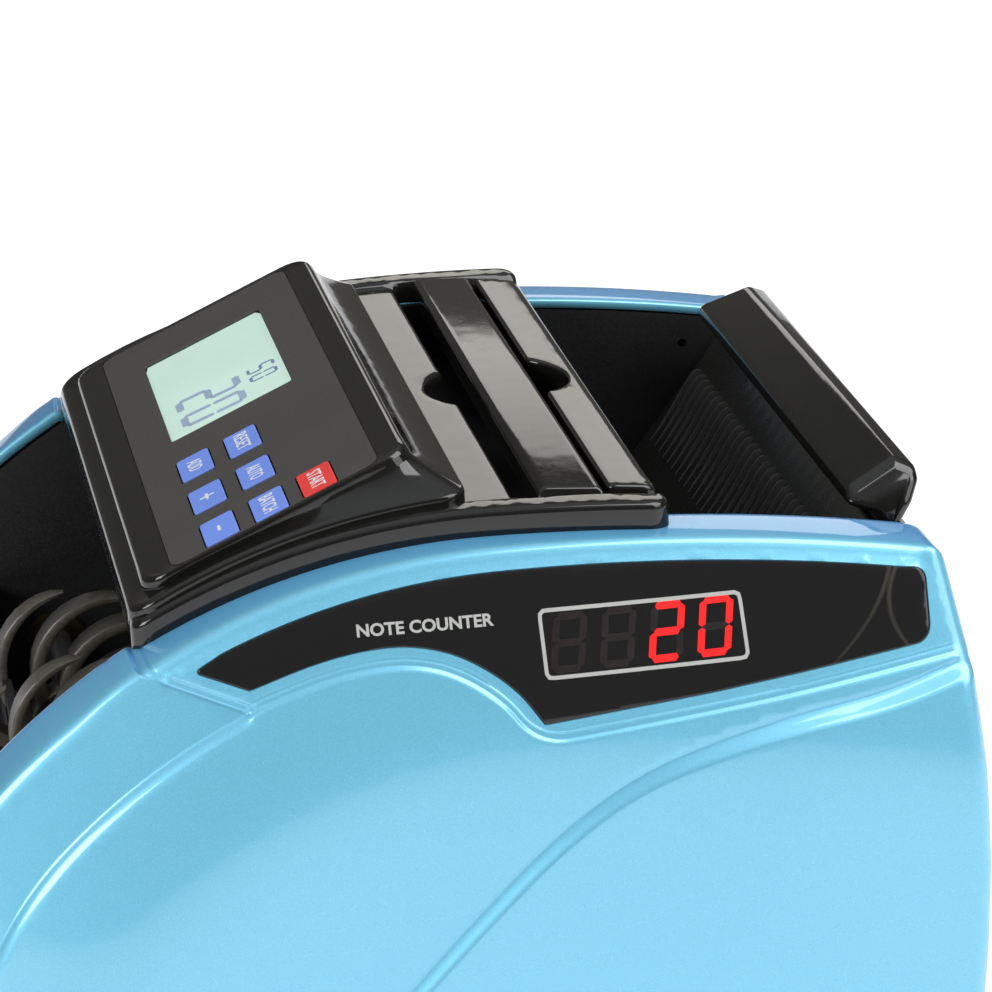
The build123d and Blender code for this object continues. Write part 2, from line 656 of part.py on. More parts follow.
with BuildPart() as stacker:
    strip(((-83.5, 114), (-79, 47), (-137.5, 38), (-141.6, 64)), 2.4, -CAVITY_X, CAVITY_X, 9)
    for side in (-1, 1):
        block((side * IMPELLER_X - 7.5, side * IMPELLER_X + 7.5), (-96, -70), (54, 130), Mode.SUBTRACT)
        block((side * 60 - 9, side * 60 + 9), (-150, -132), (48, 80), Mode.SUBTRACT)
    block((-16, 16), (-150, -136), (52, 80), Mode.SUBTRACT)
save(stacker.part, "stacker_tray")

# ---------------------------------------------------------------- base, rear panel and electrics
with BuildPart() as pan:
    block((-CAVITY_X, CAVITY_X), (-121.5, 128.5), (BASE_Z, BASE_Z + 2.5))
    block((-CAVITY_X, CAVITY_X), (-121.5, -119), (BASE_Z, 37.2))
    for row in range(-6, 7):
        with BuildSketch(Plane.XY.offset(BASE_Z)):
            with Locations((0, row * 9.0)):
                SlotOverall(60, 3)
        extrude(amount=3, mode=Mode.SUBTRACT)
    for x in (-52, 52):
        for y in (-92, -70):
            with Locations((x, y, BASE_Z + 2.5)):
                Cylinder(3, 6.5, align=(Align.CENTER, Align.CENTER, Align.MIN))
save(pan.part, "base_pan")

with BuildPart() as feet:
    for x in (-108, 108):
        for y in (-96, 104):
            with Locations((x, y, 0)):
                Cone(8, 9.5, BASE_Z, align=(Align.CENTER, Align.CENTER, Align.MIN))
save(feet.part, "rubber_feet")

INLET_X, SWITCH_X, FUSE_X, PORT_Z = -62.0, -26.0, 2.0, 35.0
with BuildPart() as rear_panel:
    block((-CAVITY_X, CAVITY_X), (128.5, 131.0), (BASE_Z, 60.5))
    block((INLET_X - 13.8, INLET_X + 13.8), (120, 140), (PORT_Z - 10.2, PORT_Z + 10.2), Mode.SUBTRACT)
    block((SWITCH_X - 7.0, SWITCH_X + 7.0), (120, 140), (PORT_Z - 10.8, PORT_Z + 10.8), Mode.SUBTRACT)
    with BuildSketch(Plane.XZ.offset(-128.5)) as vents:
        with Locations((FUSE_X, PORT_Z)):
            Circle(6.2)
        for row in range(5):
            with Locations((58, 22 + row * 6.5)):
                SlotOverall(44, 2.6)
    extrude(amount=-2.5, mode=Mode.SUBTRACT)
save(rear_panel.part, "rear_panel")

with BuildPart() as inlet:
    block((INLET_X - 13.8, INLET_X + 13.8), (111, 131.0), (PORT_Z - 10.2, PORT_Z + 10.2))
    with BuildSketch(Plane.XZ.offset(-131)):
        with Locations((INLET_X, PORT_Z)):
            RectangleRounded(40, 24, 3)
    extrude(amount=-2)
    with BuildSketch(Plane.XZ.offset(-133)) as socket:
        with Locations((INLET_X, PORT_Z)):
            Rectangle(24.2, 16.4)
        chamfer(socket.vertices().group_by(Axis.Z)[0], 4)
    extrude(amount=16, mode=Mode.SUBTRACT)
    for dx, dz in ((-7, -1.5), (0, 2.5), (7, -1.5)):
        block((INLET_X + dx - 1, INLET_X + dx + 1), (115, 129), (PORT_Z + dz - 2.2, PORT_Z + dz + 2.2))
save(inlet.part, "mains_inlet")

with BuildPart() as fuse:
    with BuildSketch(Plane.XZ.offset(-112)):
        with Locations((FUSE_X, PORT_Z)):
            Circle(6.2)
    extrude(amount=-20)
    with BuildSketch(Plane.XZ.offset(-131)):
        with Locations((FUSE_X, PORT_Z)):
            Circle(8.2)
    extrude(amount=-3.4)
    block((FUSE_X - 5, FUSE_X + 5), (133.4, 136), (PORT_Z - 0.8, PORT_Z + 0.8), Mode.SUBTRACT)
save(fuse.part, "fuse_holder")

ROCKER_PIN = (128.0, PORT_Z)
with BuildPart() as switch:
    block((SWITCH_X - 7.0, SWITCH_X + 7.0), (110, 131.0), (PORT_Z - 10.8, PORT_Z + 10.8))
    block((SWITCH_X - 8.6, SWITCH_X + 8.6), (131.0, 132.6), (PORT_Z - 12.6, PORT_Z + 12.6))
    block((SWITCH_X - 5.6, SWITCH_X + 5.6), (116, 134), (PORT_Z - 9.4, PORT_Z + 9.4), Mode.SUBTRACT)
    bar(ROCKER_PIN, SWITCH_X - 6.6, SWITCH_X + 6.6, 1.2 + RUN, Mode.SUBTRACT)
save(switch.part, "switch_body")

with BuildPart() as rocker:
    outline(
        (
            (124.2, PORT_Z - 5), (124.2, PORT_Z + 5), (131, PORT_Z + 8.4), (133.9, PORT_Z + 8.2),
            (132.4, PORT_Z), (133.9, PORT_Z - 8.2), (131, PORT_Z - 8.4),
        ),
        SWITCH_X - 5.2,
        SWITCH_X + 5.2,
    )
    bar(ROCKER_PIN, SWITCH_X - 6.4, SWITCH_X + 6.4, 1.2)
save(rocker.part.rotate(Axis((0, *ROCKER_PIN), (1, 0, 0)), -6.0), "power_rocker")

with BuildPart() as board:
    block((-60, 60), (-98, -12), (17, 18.6))
    for x, y, w, d, h in (
        (-30, -40, 16, 16, 3), (6, -36, 10, 10, 2.4), (34, -30, 12, 18, 9), (-44, -80, 20, 7, 9), (20, -86, 30, 7, 9),
        (42, -60, 9, 9, 14), (30, -62, 9, 9, 14), (-10, -66, 14, 6, 4),
    ):
        block((x - w / 2, x + w / 2), (y - d / 2, y + d / 2), (18.6, 18.6 + h))
save(board.part, "main_board")

with BuildPart() as transformer:
    block((-78, -34), (42, 92), (BASE_Z + 2.5, BASE_Z + 6))
    block((-72, -40), (46, 88), (BASE_Z + 6, 50))
    block((-76, -36), (54, 80), (18, 46))
save(transformer.part, "transformer")

with BuildPart() as motor:
    bar(MOTOR, 34, CAVITY_X, MOTOR_R)
    bar(MOTOR, 28, 34, 10)
    bar(MOTOR, 68, CAVITY_X, 3 + RUN, Mode.SUBTRACT)
    block((40, 88), (MOTOR[0] - 18, MOTOR[0] + 18), (BASE_Z + 2.5, MOTOR[1] - 12))
    bar(MOTOR, 68, CAVITY_X, 3 + RUN, Mode.SUBTRACT)
save(motor.part, "drive_motor")

with BuildPart() as tie_bars:
    for at in ((-96, 30), (100, 24), (-14, 78), (98, 100)):
        bar(at, -CAVITY_X, CAVITY_X, 3)
save(tie_bars.part, "frame_tie_bars")

with BuildPart() as led_module:
    with BuildSketch(LED_PLANE.offset(-9.8)):
        with Locations((1.4, 0)):
            Rectangle(50.2, 15.4)
    extrude(amount=8.0)
save(led_module.part, "led_display_module")

with BuildPart() as led_board:
    with BuildSketch(LED_PLANE.offset(-11.4)):
        with Locations((1.2, 0)):
            Rectangle(64, 25)
    extrude(amount=1.6)
save(led_board.part, "led_display_board")

with BuildPart() as sensors:
    block((-6, 6), (-14, -6), (88, 93))
    outline(((-112, 34), (-112, 40.709), (-100, 42.555), (-100, 34)), -8, 8)
save(sensors.part, "note_sensors")

with BuildPart() as screws:
    for x in (-101, 101):
        for y in (-70, 70):
            with Locations((x, y, BASE_Z)):
                Cylinder(3, 1.6, align=(Align.CENTER, Align.CENTER, Align.MAX))
save(screws.part, "base_screws")
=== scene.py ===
"""A desktop banknote counter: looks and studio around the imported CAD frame. Helpers work in millimetres."""

import json
import math

import bmesh
import bpy
import numpy as np
from mathutils import Euler, Matrix, Vector
from mathutils.geometry import delaunay_2d_cdt


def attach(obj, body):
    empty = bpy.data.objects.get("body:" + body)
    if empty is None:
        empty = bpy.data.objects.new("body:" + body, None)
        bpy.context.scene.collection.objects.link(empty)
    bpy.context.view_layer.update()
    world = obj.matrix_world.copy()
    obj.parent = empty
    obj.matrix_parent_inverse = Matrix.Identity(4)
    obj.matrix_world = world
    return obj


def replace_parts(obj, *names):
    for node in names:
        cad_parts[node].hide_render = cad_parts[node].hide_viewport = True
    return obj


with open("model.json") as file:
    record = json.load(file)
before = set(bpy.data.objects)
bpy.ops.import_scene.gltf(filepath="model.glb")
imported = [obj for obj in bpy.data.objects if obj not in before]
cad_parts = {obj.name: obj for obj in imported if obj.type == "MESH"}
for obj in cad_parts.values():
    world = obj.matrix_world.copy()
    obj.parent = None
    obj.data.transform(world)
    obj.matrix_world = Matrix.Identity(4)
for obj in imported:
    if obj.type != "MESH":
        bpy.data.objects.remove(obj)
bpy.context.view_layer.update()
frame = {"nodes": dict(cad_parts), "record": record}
MM = 0.001

# ---------- case outline, as in the CAD model
PEAK = (27.0, 184.0)
REAR_R, FRONT_R, BROW_R = 540.0, 175.0, 110.0
FRONT_ARC = math.radians(43.5)
FRONT_C = (PEAK[0], PEAK[1] - FRONT_R)
REAR_C = (PEAK[0], PEAK[1] - REAR_R)
BROW_TOP = (FRONT_C[0] - FRONT_R * math.sin(FRONT_ARC), FRONT_C[1] + FRONT_R * math.cos(FRONT_ARC))
BROW_C = (BROW_TOP[0] + BROW_R * math.sin(FRONT_ARC), BROW_TOP[1] - BROW_R * math.cos(FRONT_ARC))
RIM_X, RIM_TURN_X, CAVITY_X = 112.0, 111.2, 94.4
FACET_SLOPE, FACET_NORMAL = 0.414, (0.924, 0.382)
WAIST_Z, WAIST_X = 62.0, 131.4  # where the flank is widest, and its half width there
BASE_Z, FRONT_FOOT_Y, FRONT_Y, REAR_FOOT_Y, REAR_TOP_Y = 8.0, -124.0, -127.8, 132.4, 136.8


def depth(y, z):
    """Inward distance from the arch, for numbers or arrays."""
    y, z = np.asarray(y, float), np.asarray(z, float)
    rear = REAR_R - np.hypot(y - REAR_C[0], z - REAR_C[1])
    front = FRONT_R - np.hypot(y - FRONT_C[0], z - FRONT_C[1])
    brow = BROW_R - np.hypot(y - BROW_C[0], z - BROW_C[1])
    lean = np.arctan2(FRONT_C[0] - y, z - FRONT_C[1])
    below = np.where(z >= BROW_C[1], brow, y - FRONT_Y)
    return np.where(y >= PEAK[0], rear, np.where(lean <= FRONT_ARC, front, below))


def arch_z(y, out=0.0):
    """Height of the arch, or of a curve a little outside it, at y."""
    y = np.asarray(y, float)
    rear = REAR_C[1] + np.sqrt(np.maximum((REAR_R + out) ** 2 - (y - REAR_C[0]) ** 2, 1))
    front = FRONT_C[1] + np.sqrt(np.maximum((FRONT_R + out) ** 2 - (y - FRONT_C[0]) ** 2, 1))
    return np.where(y >= PEAK[0], rear, front)


def smooth(edge0, edge1, v):
    """0 to 1, eased, as a value goes from one edge to the other."""
    t = np.clip((np.asarray(v, float) - edge0) / (edge1 - edge0), 0, 1)
    return t * t * (3 - 2 * t)


# ---------- mesh helpers
def new_object(name, verts, faces, material, body="case", slot=None, smooth_angle=32.0):
    """A clean mesh object from millimetre points, with its shading, material and body; the slot argument is not used.
    """
    mesh = bpy.data.meshes.new(name)
    mesh.from_pydata([tuple(float(c) * MM for c in v) for v in verts], [], faces)
    mesh.validate()
    bm = bmesh.new()
    bm.from_mesh(mesh)
    bmesh.ops.remove_doubles(bm, verts=bm.verts, dist=1e-6)
    bmesh.ops.dissolve_degenerate(bm, edges=bm.edges, dist=1e-7)
    bmesh.ops.recalc_face_normals(bm, faces=bm.faces)
    limit = math.radians(smooth_angle)
    for face in bm.faces:
        face.smooth = True
    for edge in bm.edges:
        edge.smooth = len(edge.link_faces) != 2 or edge.calc_face_angle(0) < limit
    bm.to_mesh(mesh)
    bm.free()
    mesh.materials.append(material)
    obj = bpy.data.objects.new(name, mesh)
    bpy.context.collection.objects.link(obj)
    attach(obj, body)
    return obj


def evaluated_mesh(obj):
    """A new mesh of an object as its modifiers or its font make it."""
    return bpy.data.meshes.new_from_object(obj.evaluated_get(bpy.context.evaluated_depsgraph_get()))


def grid_faces(rows, cols, wrap=False):
    """Quads over a rows by cols grid of points, wrapping the columns if asked."""
    last = cols if wrap else cols - 1
    return [
        (r * cols + c, r * cols + (c + 1) % cols, (r + 1) * cols + (c + 1) % cols, (r + 1) * cols + c)
        for r in range(rows - 1)
        for c in range(last)
    ]


def loops_solid(loops):
    """Points and faces of a skin over closed loops of equal length, with flat caps."""
    count = len(loops[0])
    faces = grid_faces(len(loops), count, wrap=True)
    faces += [tuple(range(count))[::-1], tuple(range((len(loops) - 1) * count, len(loops) * count))]
    return [p for loop in loops for p in loop], faces


def loops_ring(loops):
    """Points and faces of a skin over closed loops of equal length, the last joined back to the first."""
    count = len(loops[0])
    last = (len(loops) - 1) * count
    faces = grid_faces(len(loops), count, wrap=True)
    faces += [(last + c, last + (c + 1) % count, (c + 1) % count, c) for c in range(count)]
    return [p for loop in loops for p in loop], faces


def box(x, y):
    """The corners of a rectangle between two values on each axis."""
    return [(x[0], y[0]), (x[1], y[0]), (x[1], y[1]), (x[0], y[1])]


def arc_points(centre, radius, start, end, count):
    """Points at even angles along an arc."""
    angles = np.linspace(start, end, count)
    return [(centre[0] + radius * math.cos(a), centre[1] + radius * math.sin(a)) for a in angles]


def rounded_polygon(points, radii, steps=5):
    """A polygon with each corner rounded by its own radius."""
    out = []
    total = len(points)
    if not hasattr(radii, "__len__"):
        radii = [radii] * total
    for i, corner in enumerate(points):
        here = np.array(corner, float)
        a = np.array(points[i - 1], float) - here
        b = np.array(points[(i + 1) % total], float) - here
        la, lb = np.linalg.norm(a), np.linalg.norm(b)
        a, b = a / la, b / lb
        half = math.acos(max(-1, min(1, float(a @ b)))) / 2
        reach = min(radii[i] / math.tan(half), 0.49 * la, 0.49 * lb)
        radius = reach * math.tan(half)
        if radius < 1e-4:
            out.append(tuple(here))
            continue
        centre = here + (a + b) / np.linalg.norm(a + b) * (radius / math.sin(half))
        start, end = here + a * reach - centre, here + b * reach - centre
        sweep = math.atan2(start[0] * end[1] - start[1] * end[0], float(start @ end))
        for k in range(steps + 1):
            angle = sweep * k / steps
            c, s = math.cos(angle), math.sin(angle)
            out.append((centre[0] + c * start[0] - s * start[1], centre[1] + s * start[0] + c * start[1]))
    return out


def unit(rows):
    """Vectors scaled to length 1, row by row."""
    return rows / np.maximum(np.linalg.norm(rows, axis=1, keepdims=True), 1e-9)


def left_of(rows):
    """2-D vectors turned a quarter to the left."""
    return np.stack([-rows[:, 1], rows[:, 0]], 1)


def winding(loop):
    """1 for a closed loop that runs anticlockwise, -1 for a clockwise one."""
    after = np.roll(loop, -1, 0)
    return 1 if np.sum(loop[:, 0] * after[:, 1] - after[:, 0] * loop[:, 1]) > 0 else -1


def inset_loop(points, amount):
    """Moves a closed 2-D loop inward by an amount along its vertex normals."""
    p = np.array(points, float)
    before, after = unit(p - np.roll(p, 1, 0)), unit(np.roll(p, -1, 0) - p)
    n = unit(left_of(before + after))
    stretch = 1 / np.maximum(0.45, np.abs(np.sum(n * left_of(before), axis=1)))
    return p + n * (amount * stretch)[:, None] * winding(p)


QUARTER = np.linspace(0, math.pi / 2, 6)


def prism_mesh(outline, half_x, edge, slope=0.0, from_z=0.0):
    """A (y, z) outline run across the machine, with softly rounded ends that lean inward above a height."""
    loops = []
    for side, angles in ((-1, QUARTER), (1, QUARTER[::-1])):
        for a in angles:
            x = half_x - edge * (1 - math.cos(a))
            ring = inset_loop(outline, edge * (1 - math.sin(a)))
            loops.append([(side * (x - slope * max(z - from_z, 0)), y, z) for y, z in ring])
    return loops_solid(loops)


def post_mesh(x, y, z, radius=1.0):
    """An upright rounded-square post between two values on each axis."""
    plan = rounded_polygon(box(x, y), radius, 4)
    levels = [(0.6, z[0]), (0.15, z[0] + 0.2), (0, z[0] + 0.7), (0, z[1])]
    return loops_solid([[(a, b, level) for a, b in inset_loop(plan, inset)] for inset, level in levels])


def merge(*meshes):
    """Several meshes' points and faces as one."""
    verts, faces = [], []
    for more_verts, more_faces in meshes:
        faces += [tuple(i + len(verts) for i in face) for face in more_faces]
        verts += [tuple(v) for v in more_verts]
    return verts, faces


# ---------- materials
def set_inputs(node, **values):
    """Sets a node's input sockets by name, with _ for a space."""
    for key, value in values.items():
        node.inputs[key.replace("_", " ")].default_value = value


class Look:
    """The shader of a material or of the world, with the few kinds of node that feed it."""

    def __init__(self, owner, shader):
        owner.use_nodes = True
        self.owner, self.tree = owner, owner.node_tree
        self.shader = self.tree.nodes[shader]

    def add(self, kind, source=None, into=0, **values):
        """A new node with its inputs set, and one of them linked."""
        node = self.tree.nodes.new("ShaderNode" + kind)
        set_inputs(node, **values)
        if source is not None:
            self.tree.links.new(source, node.inputs[into])
        return node

    def feed(self, **sources):
        """Links values to the shader's sockets by name, with _ for a space."""
        for key, source in sources.items():
            self.tree.links.new(source, self.shader.inputs[key.replace("_", " ")])

    def noise(self, scale, detail=3.0, rough=0.55, vector=None):
        """A noise value in object space, in cycles per metre."""
        vector = vector or self.add("TexCoord").outputs["Object"]
        return self.add("TexNoise", vector, "Vector", Scale=scale, Detail=detail, Roughness=rough).outputs["Fac"]

    def ramp(self, source, stops):
        """A colour ramp over a value; stops are (position, colour)."""
        node = self.add("ValToRGB", source, "Fac")
        while len(node.color_ramp.elements) < len(stops):
            node.color_ramp.elements.new(0.5)
        for element, (position, color) in zip(node.color_ramp.elements, stops):
            element.position, element.color = position, (*color, 1)
        return node.outputs["Color"]

    def spread(self, source, low, high, near=0.3, far=0.7):
        """A value mapped from one range to another."""
        node = self.add("MapRange", source, "Value", From_Min=near, From_Max=far, To_Min=low, To_Max=high)
        return node.outputs["Result"]

    def bump(self, height, strength, distance):
        """Lets a value raise the shading normal; the distance is in metres."""
        self.feed(Normal=self.add("Bump", height, "Height", Strength=strength, Distance=distance).outputs["Normal"])

    def calc(self, operation, *values):
        """A Math node over numbers and sockets."""
        node = self.add("Math")
        node.operation = operation
        for socket, value in zip(node.inputs, values):
            if isinstance(value, (int, float)):
                socket.default_value = value
            else:
                self.tree.links.new(value, socket)
        return node.outputs[0]


def plain(name, color, rough, metallic=0.0, coat=0.0, coat_rough=0.05, spec=0.5):
    """A new material whose uniform values are set on the shader's own sockets."""
    look = Look(bpy.data.materials.new(name), "Principled BSDF")
    set_inputs(look.shader, Base_Color=(*color, 1), Roughness=rough, Metallic=metallic, Coat_Weight=coat,
               Coat_Roughness=coat_rough, Specular_IOR_Level=spec)
    return look


def shade(color, k):
    return tuple(min(1.0, c * k) for c in color)


def gloss(name, color, rough, wave, haze=0.06):
    """Moulded gloss plastic: faint long waves in the skin, fine dust haze in the roughness."""
    look = plain(name, color, rough)
    fine = look.noise(900, 5)
    dust = look.ramp(fine, [(0.3, shade(color, 0.85)), (0.7, shade(color, 1.25))])
    look.feed(Base_Color=dust, Roughness=look.spread(fine, rough, rough + haze))
    look.bump(look.noise(38, 2), wave, 0.002)
    return look.owner


def matte(name, color, rough=0.55, grain=1500, strength=0.16, vary=0.18, spec=0.4):
    """Moulded matte plastic or rubber: a fine spark-eroded grain and slight colour variation."""
    look = plain(name, color, rough, spec=spec)
    fine = look.noise(grain, 4)
    patches = look.ramp(look.noise(24, 3), [(0.3, shade(color, 1 - vary)), (0.72, shade(color, 1 + vary))])
    look.feed(Base_Color=patches, Roughness=look.spread(fine, rough - 0.08, rough + 0.1))
    look.bump(fine, strength, 0.0002)
    return look.owner


def metal(name, color, rough, stretch=(1, 60, 60), scale=40):
    """Brushed or ground metal with streaks along one axis."""
    look = plain(name, color, rough, metallic=1.0)
    mapping = look.add("Mapping", look.add("TexCoord").outputs["Object"], "Vector", Scale=stretch)
    streak = look.noise(scale, 4, vector=mapping.outputs["Vector"])
    streaks = look.ramp(streak, [(0.25, shade(color, 0.88)), (0.75, shade(color, 1.12))])
    look.feed(Base_Color=streaks, Roughness=look.spread(streak, rough - 0.08, rough + 0.12))
    look.bump(streak, 0.08, 0.0002)
    return look.owner


def lacquer(name):
    """Sky-blue metallic lacquer: fine bright flakes under a clear coat with faint orange peel."""
    color = (0.150, 0.47, 0.645)
    look = plain(name, color, 0.40, metallic=0.35, coat=1.0, coat_rough=0.035)
    flake = look.noise(5200, 1.5, 0.6)
    stops = [(0.32, shade(color, 0.90)), (0.5, color), (0.66, shade(color, 1.14)), (0.80, (0.27, 0.62, 0.80))]
    body = look.ramp(flake, stops)
    # painted reflection: the second pass below tints the lacquer a darker, deeper blue where it is seen at a grazing
    # angle, standing in for dark surroundings mirrored in it
    edge = look.add("LayerWeight", Blend=0.5)
    for source, stops, amount in (
        (look.noise(9, 2), [(0.3, (0.90, 0.94, 0.97)), (0.7, (1, 1, 1))], 0.5),
        (edge.outputs["Facing"], [(0.50, (1, 1, 1)), (0.72, (0.66, 0.78, 1.12))], 1.0),
    ):
        mix = look.add("Mix")
        mix.data_type, mix.blend_type = "RGBA", "MULTIPLY"
        mix.inputs[0].default_value = amount
        look.tree.links.new(body, mix.inputs[6])
        look.tree.links.new(look.ramp(source, stops), mix.inputs[7])
        body = mix.outputs[2]
    look.feed(Base_Color=body, Roughness=look.spread(flake, 0.36, 0.46))
    look.bump(look.noise(300, 2), 0.025, 0.0004)
    return look.owner


def glow(name, color, strength, base=(0.2, 0.2, 0.2), vary=0.12, scale=500, rough=0.3):
    """A lit surface whose brightness is slightly uneven."""
    look = plain(name, base, rough)
    uneven = look.noise(scale, 3)
    look.feed(Emission_Color=look.ramp(uneven, [(0.3, shade(color, 1 - vary)), (0.7, shade(color, 1 + vary * 0.4))]))
    set_inputs(look.shader, Emission_Strength=strength)
    look.bump(uneven, 0.02, 0.0002)
    return look.owner


def thin_curve(look, split, middle, half, at, lean, bow):
    """1 along a thin curve y = at + lean (z - middle) + bow (z - middle)^2, in metres, and 0 elsewhere."""
    up = look.calc("SUBTRACT", split.outputs["Z"], middle)
    curve = look.calc("MULTIPLY_ADD", look.calc("MULTIPLY", up, up), bow, look.calc("MULTIPLY_ADD", up, lean, at))
    away = look.calc("ABSOLUTE", look.calc("SUBTRACT", split.outputs["Y"], curve))
    return look.calc("SUBTRACT", 1.0, look.spread(away, 0.0, 1.0, 0.2 * half, half))


def window_gloss(name):
    """The dark display window: deep black gloss with two faint smoky curls behind its rear end."""
    color = (0.010, 0.010, 0.0105)
    look = plain(name, color, 0.09)
    soft = look.noise(20, 2, 0.4)
    split = look.add("SeparateXYZ", look.add("TexCoord").outputs["Object"])
    curls = [thin_curve(look, split, 0.160, 0.0008, *bend) for bend in ((0.117, 0.81, -25.5), (0.1216, -0.12, 40.0))]
    faint = look.calc("MULTIPLY", look.calc("MAXIMUM", *curls), look.spread(soft, 0.35, 1.0, 0.35, 0.6))
    look.feed(Base_Color=look.ramp(faint, [(0.0, color), (1.0, (0.042, 0.038, 0.031))]))
    look.bump(soft, 0.03, 0.002)
    return look.owner


BLUE = lacquer("sky_blue_lacquer")
PIANO = gloss("piano_black", (0.0075, 0.0072, 0.0065), 0.055, 0.10, haze=0.05)
WINDOW = window_gloss("window_black")
LEGEND = matte("legend_white", (0.62, 0.63, 0.66), 0.5, 3000, 0.05, 0.05)
PRINT = matte("print_grey", (0.36, 0.365, 0.35), 0.5, 3000, 0.05, 0.05)
# finger wheel plastic: black, with its base colour lifted to a brownish grey as a painted reflection of a pale beige
# wall
WHEEL_BLACK_AND_PAINTED_REFLECTION = gloss("wheel_black", (0.072, 0.064, 0.051), 0.30, 0.004)
# the ribs are moulded in the hopper plate's black but get a lighter grey copy of it: a painted highlight where their
# edges catch the light
RIB_PAINTED_HIGHLIGHT = gloss("rib_painted_highlight", (0.085, 0.084, 0.080), 0.32, 0.004)
HOPPER_BLACK = matte("hopper_black", (0.022, 0.021, 0.019), 0.26, 2200, 0.02, 0.12, 0.5)
SEGMENT = matte("lcd_segment", (0.16, 0.22, 0.34), 0.4, 2000, 0.05)
SEGMENT_PALE = matte("lcd_segment_pale", (0.29, 0.37, 0.50), 0.4, 2000, 0.05)
LED_ON = glow("led_red", (1.0, 0.010, 0.011), 1.25, (0.2, 0.01, 0.01), 0.25, 260)
LED_OFF = matte("led_unlit", (0.0135, 0.0105, 0.010), 0.35, 1500, 0.05)
NODE_MATERIAL = {
    "piano_black": PIANO, "blue_paint": BLUE, "window_black": WINDOW, "wheel_black": WHEEL_BLACK_AND_PAINTED_REFLECTION,
    "matte_black": matte("matte_black", (0.012, 0.012, 0.013), 0.48, 1200, 0.2, 0.2),
    "overlay_grey": matte("keypad_film", (0.054, 0.050, 0.047), 0.40, 2400, 0.08, 0.08),
    "lcd_screen": glow("lcd_backlight", (0.60, 0.83, 0.74), 0.80, (0.10, 0.12, 0.11), 0.10, 26, 0.25),
    "key_blue": matte("key_blue", (0.150, 0.25, 0.70), 0.40, 2600, 0.06, 0.06),
    "key_red": matte("key_red", (0.68, 0.045, 0.04), 0.40, 2600, 0.06, 0.06),
    "circuit_board": matte("circuit_board", (0.02, 0.16, 0.06), 0.35, 900, 0.12),
    "led_case": matte("led_case", (0.03, 0.024, 0.022), 0.4),
    "steel": metal("zinc_steel", (0.58, 0.59, 0.60), 0.34),
    "motor_case": matte("motor_paint", (0.05, 0.052, 0.058), 0.4, 700, 0.25),
    "iron_core": metal("iron_core", (0.20, 0.19, 0.18), 0.5, (60, 1, 60), 30),
    "bronze": metal("oiled_bronze", (0.15, 0.105, 0.06), 0.42, (60, 60, 60), 20),
    "rubber_black": matte("rubber_black", (0.016, 0.016, 0.017), 0.72, 600, 0.4, 0.25),
    "rubber_grey": matte("ground_rubber", (0.07, 0.07, 0.073), 0.78, 800, 0.5, 0.2),
    "port_black": matte("port_black", (0.010, 0.010, 0.010), 0.38, 1800, 0.1),
}
for part in frame["record"]["subparts"]:
    node = frame["nodes"][part["node"]]
    if not node.material_slots:
        node.data.materials.append(NODE_MATERIAL[part["material_slot"]])
    for holder in node.material_slots:
        holder.link = "OBJECT"
        holder.material = NODE_MATERIAL[part["material_slot"]]


# ---------- plan geometry
def chaikin(points, rounds=2):
    """Corner-cutting smoothing of an open line that keeps its ends."""
    p = np.array(points, float)
    for _ in range(rounds):
        a, b = 0.75 * p[:-1] + 0.25 * p[1:], 0.25 * p[:-1] + 0.75 * p[1:]
        p = np.vstack([p[:1], np.stack([a, b], 1).reshape(-1, 2), p[-1:]])
    return p


def resample(points, step):
    """Even steps along an open line."""
    p = np.array(points, float)
    gaps = np.hypot(*np.diff(p, axis=0).T)
    run = np.concatenate([[0], np.cumsum(gaps)])
    s = np.linspace(0, run[-1], max(2, int(run[-1] / step) + 1))
    return np.stack([np.interp(s, run, p[:, 0]), np.interp(s, run, p[:, 1])], 1)


def even_loop(points, step=1.6):
    """Even steps around a closed line."""
    p = np.array(points, float)
    return resample(np.vstack([p, p[:1]]), step)[:-1]


def shift_line(points, amount):
    """An open line moved to its left by an amount."""
    p = np.array(points, float)
    return p + amount * left_of(unit(np.gradient(p, axis=0)))


def line_distance(points, u, v):
    """Distance from each (u, v) to an open line, positive on the left of its direction."""
    p = np.array(points, float)
    best = np.full(np.shape(u), 1e9)
    sign = np.ones(np.shape(u))
    for a, b in zip(p[:-1], p[1:]):
        d = b - a
        t = np.clip(((u - a[0]) * d[0] + (v - a[1]) * d[1]) / max(float(d @ d), 1e-12), 0, 1)
        gap = np.hypot(u - a[0] - t * d[0], v - a[1] - t * d[1])
        nearer = gap < best - 1e-9
        sign = np.where(nearer, np.sign(d[0] * (v - a[1]) - d[1] * (u - a[0])), sign)
        best = np.minimum(best, gap)
    return best * sign


def inside_distance(loop, u, v):
    """Distance inside a closed outline, negative outside it."""
    p = np.array(loop, float)
    return line_distance(np.vstack([p, p[:1]]), u, v) * winding(p)


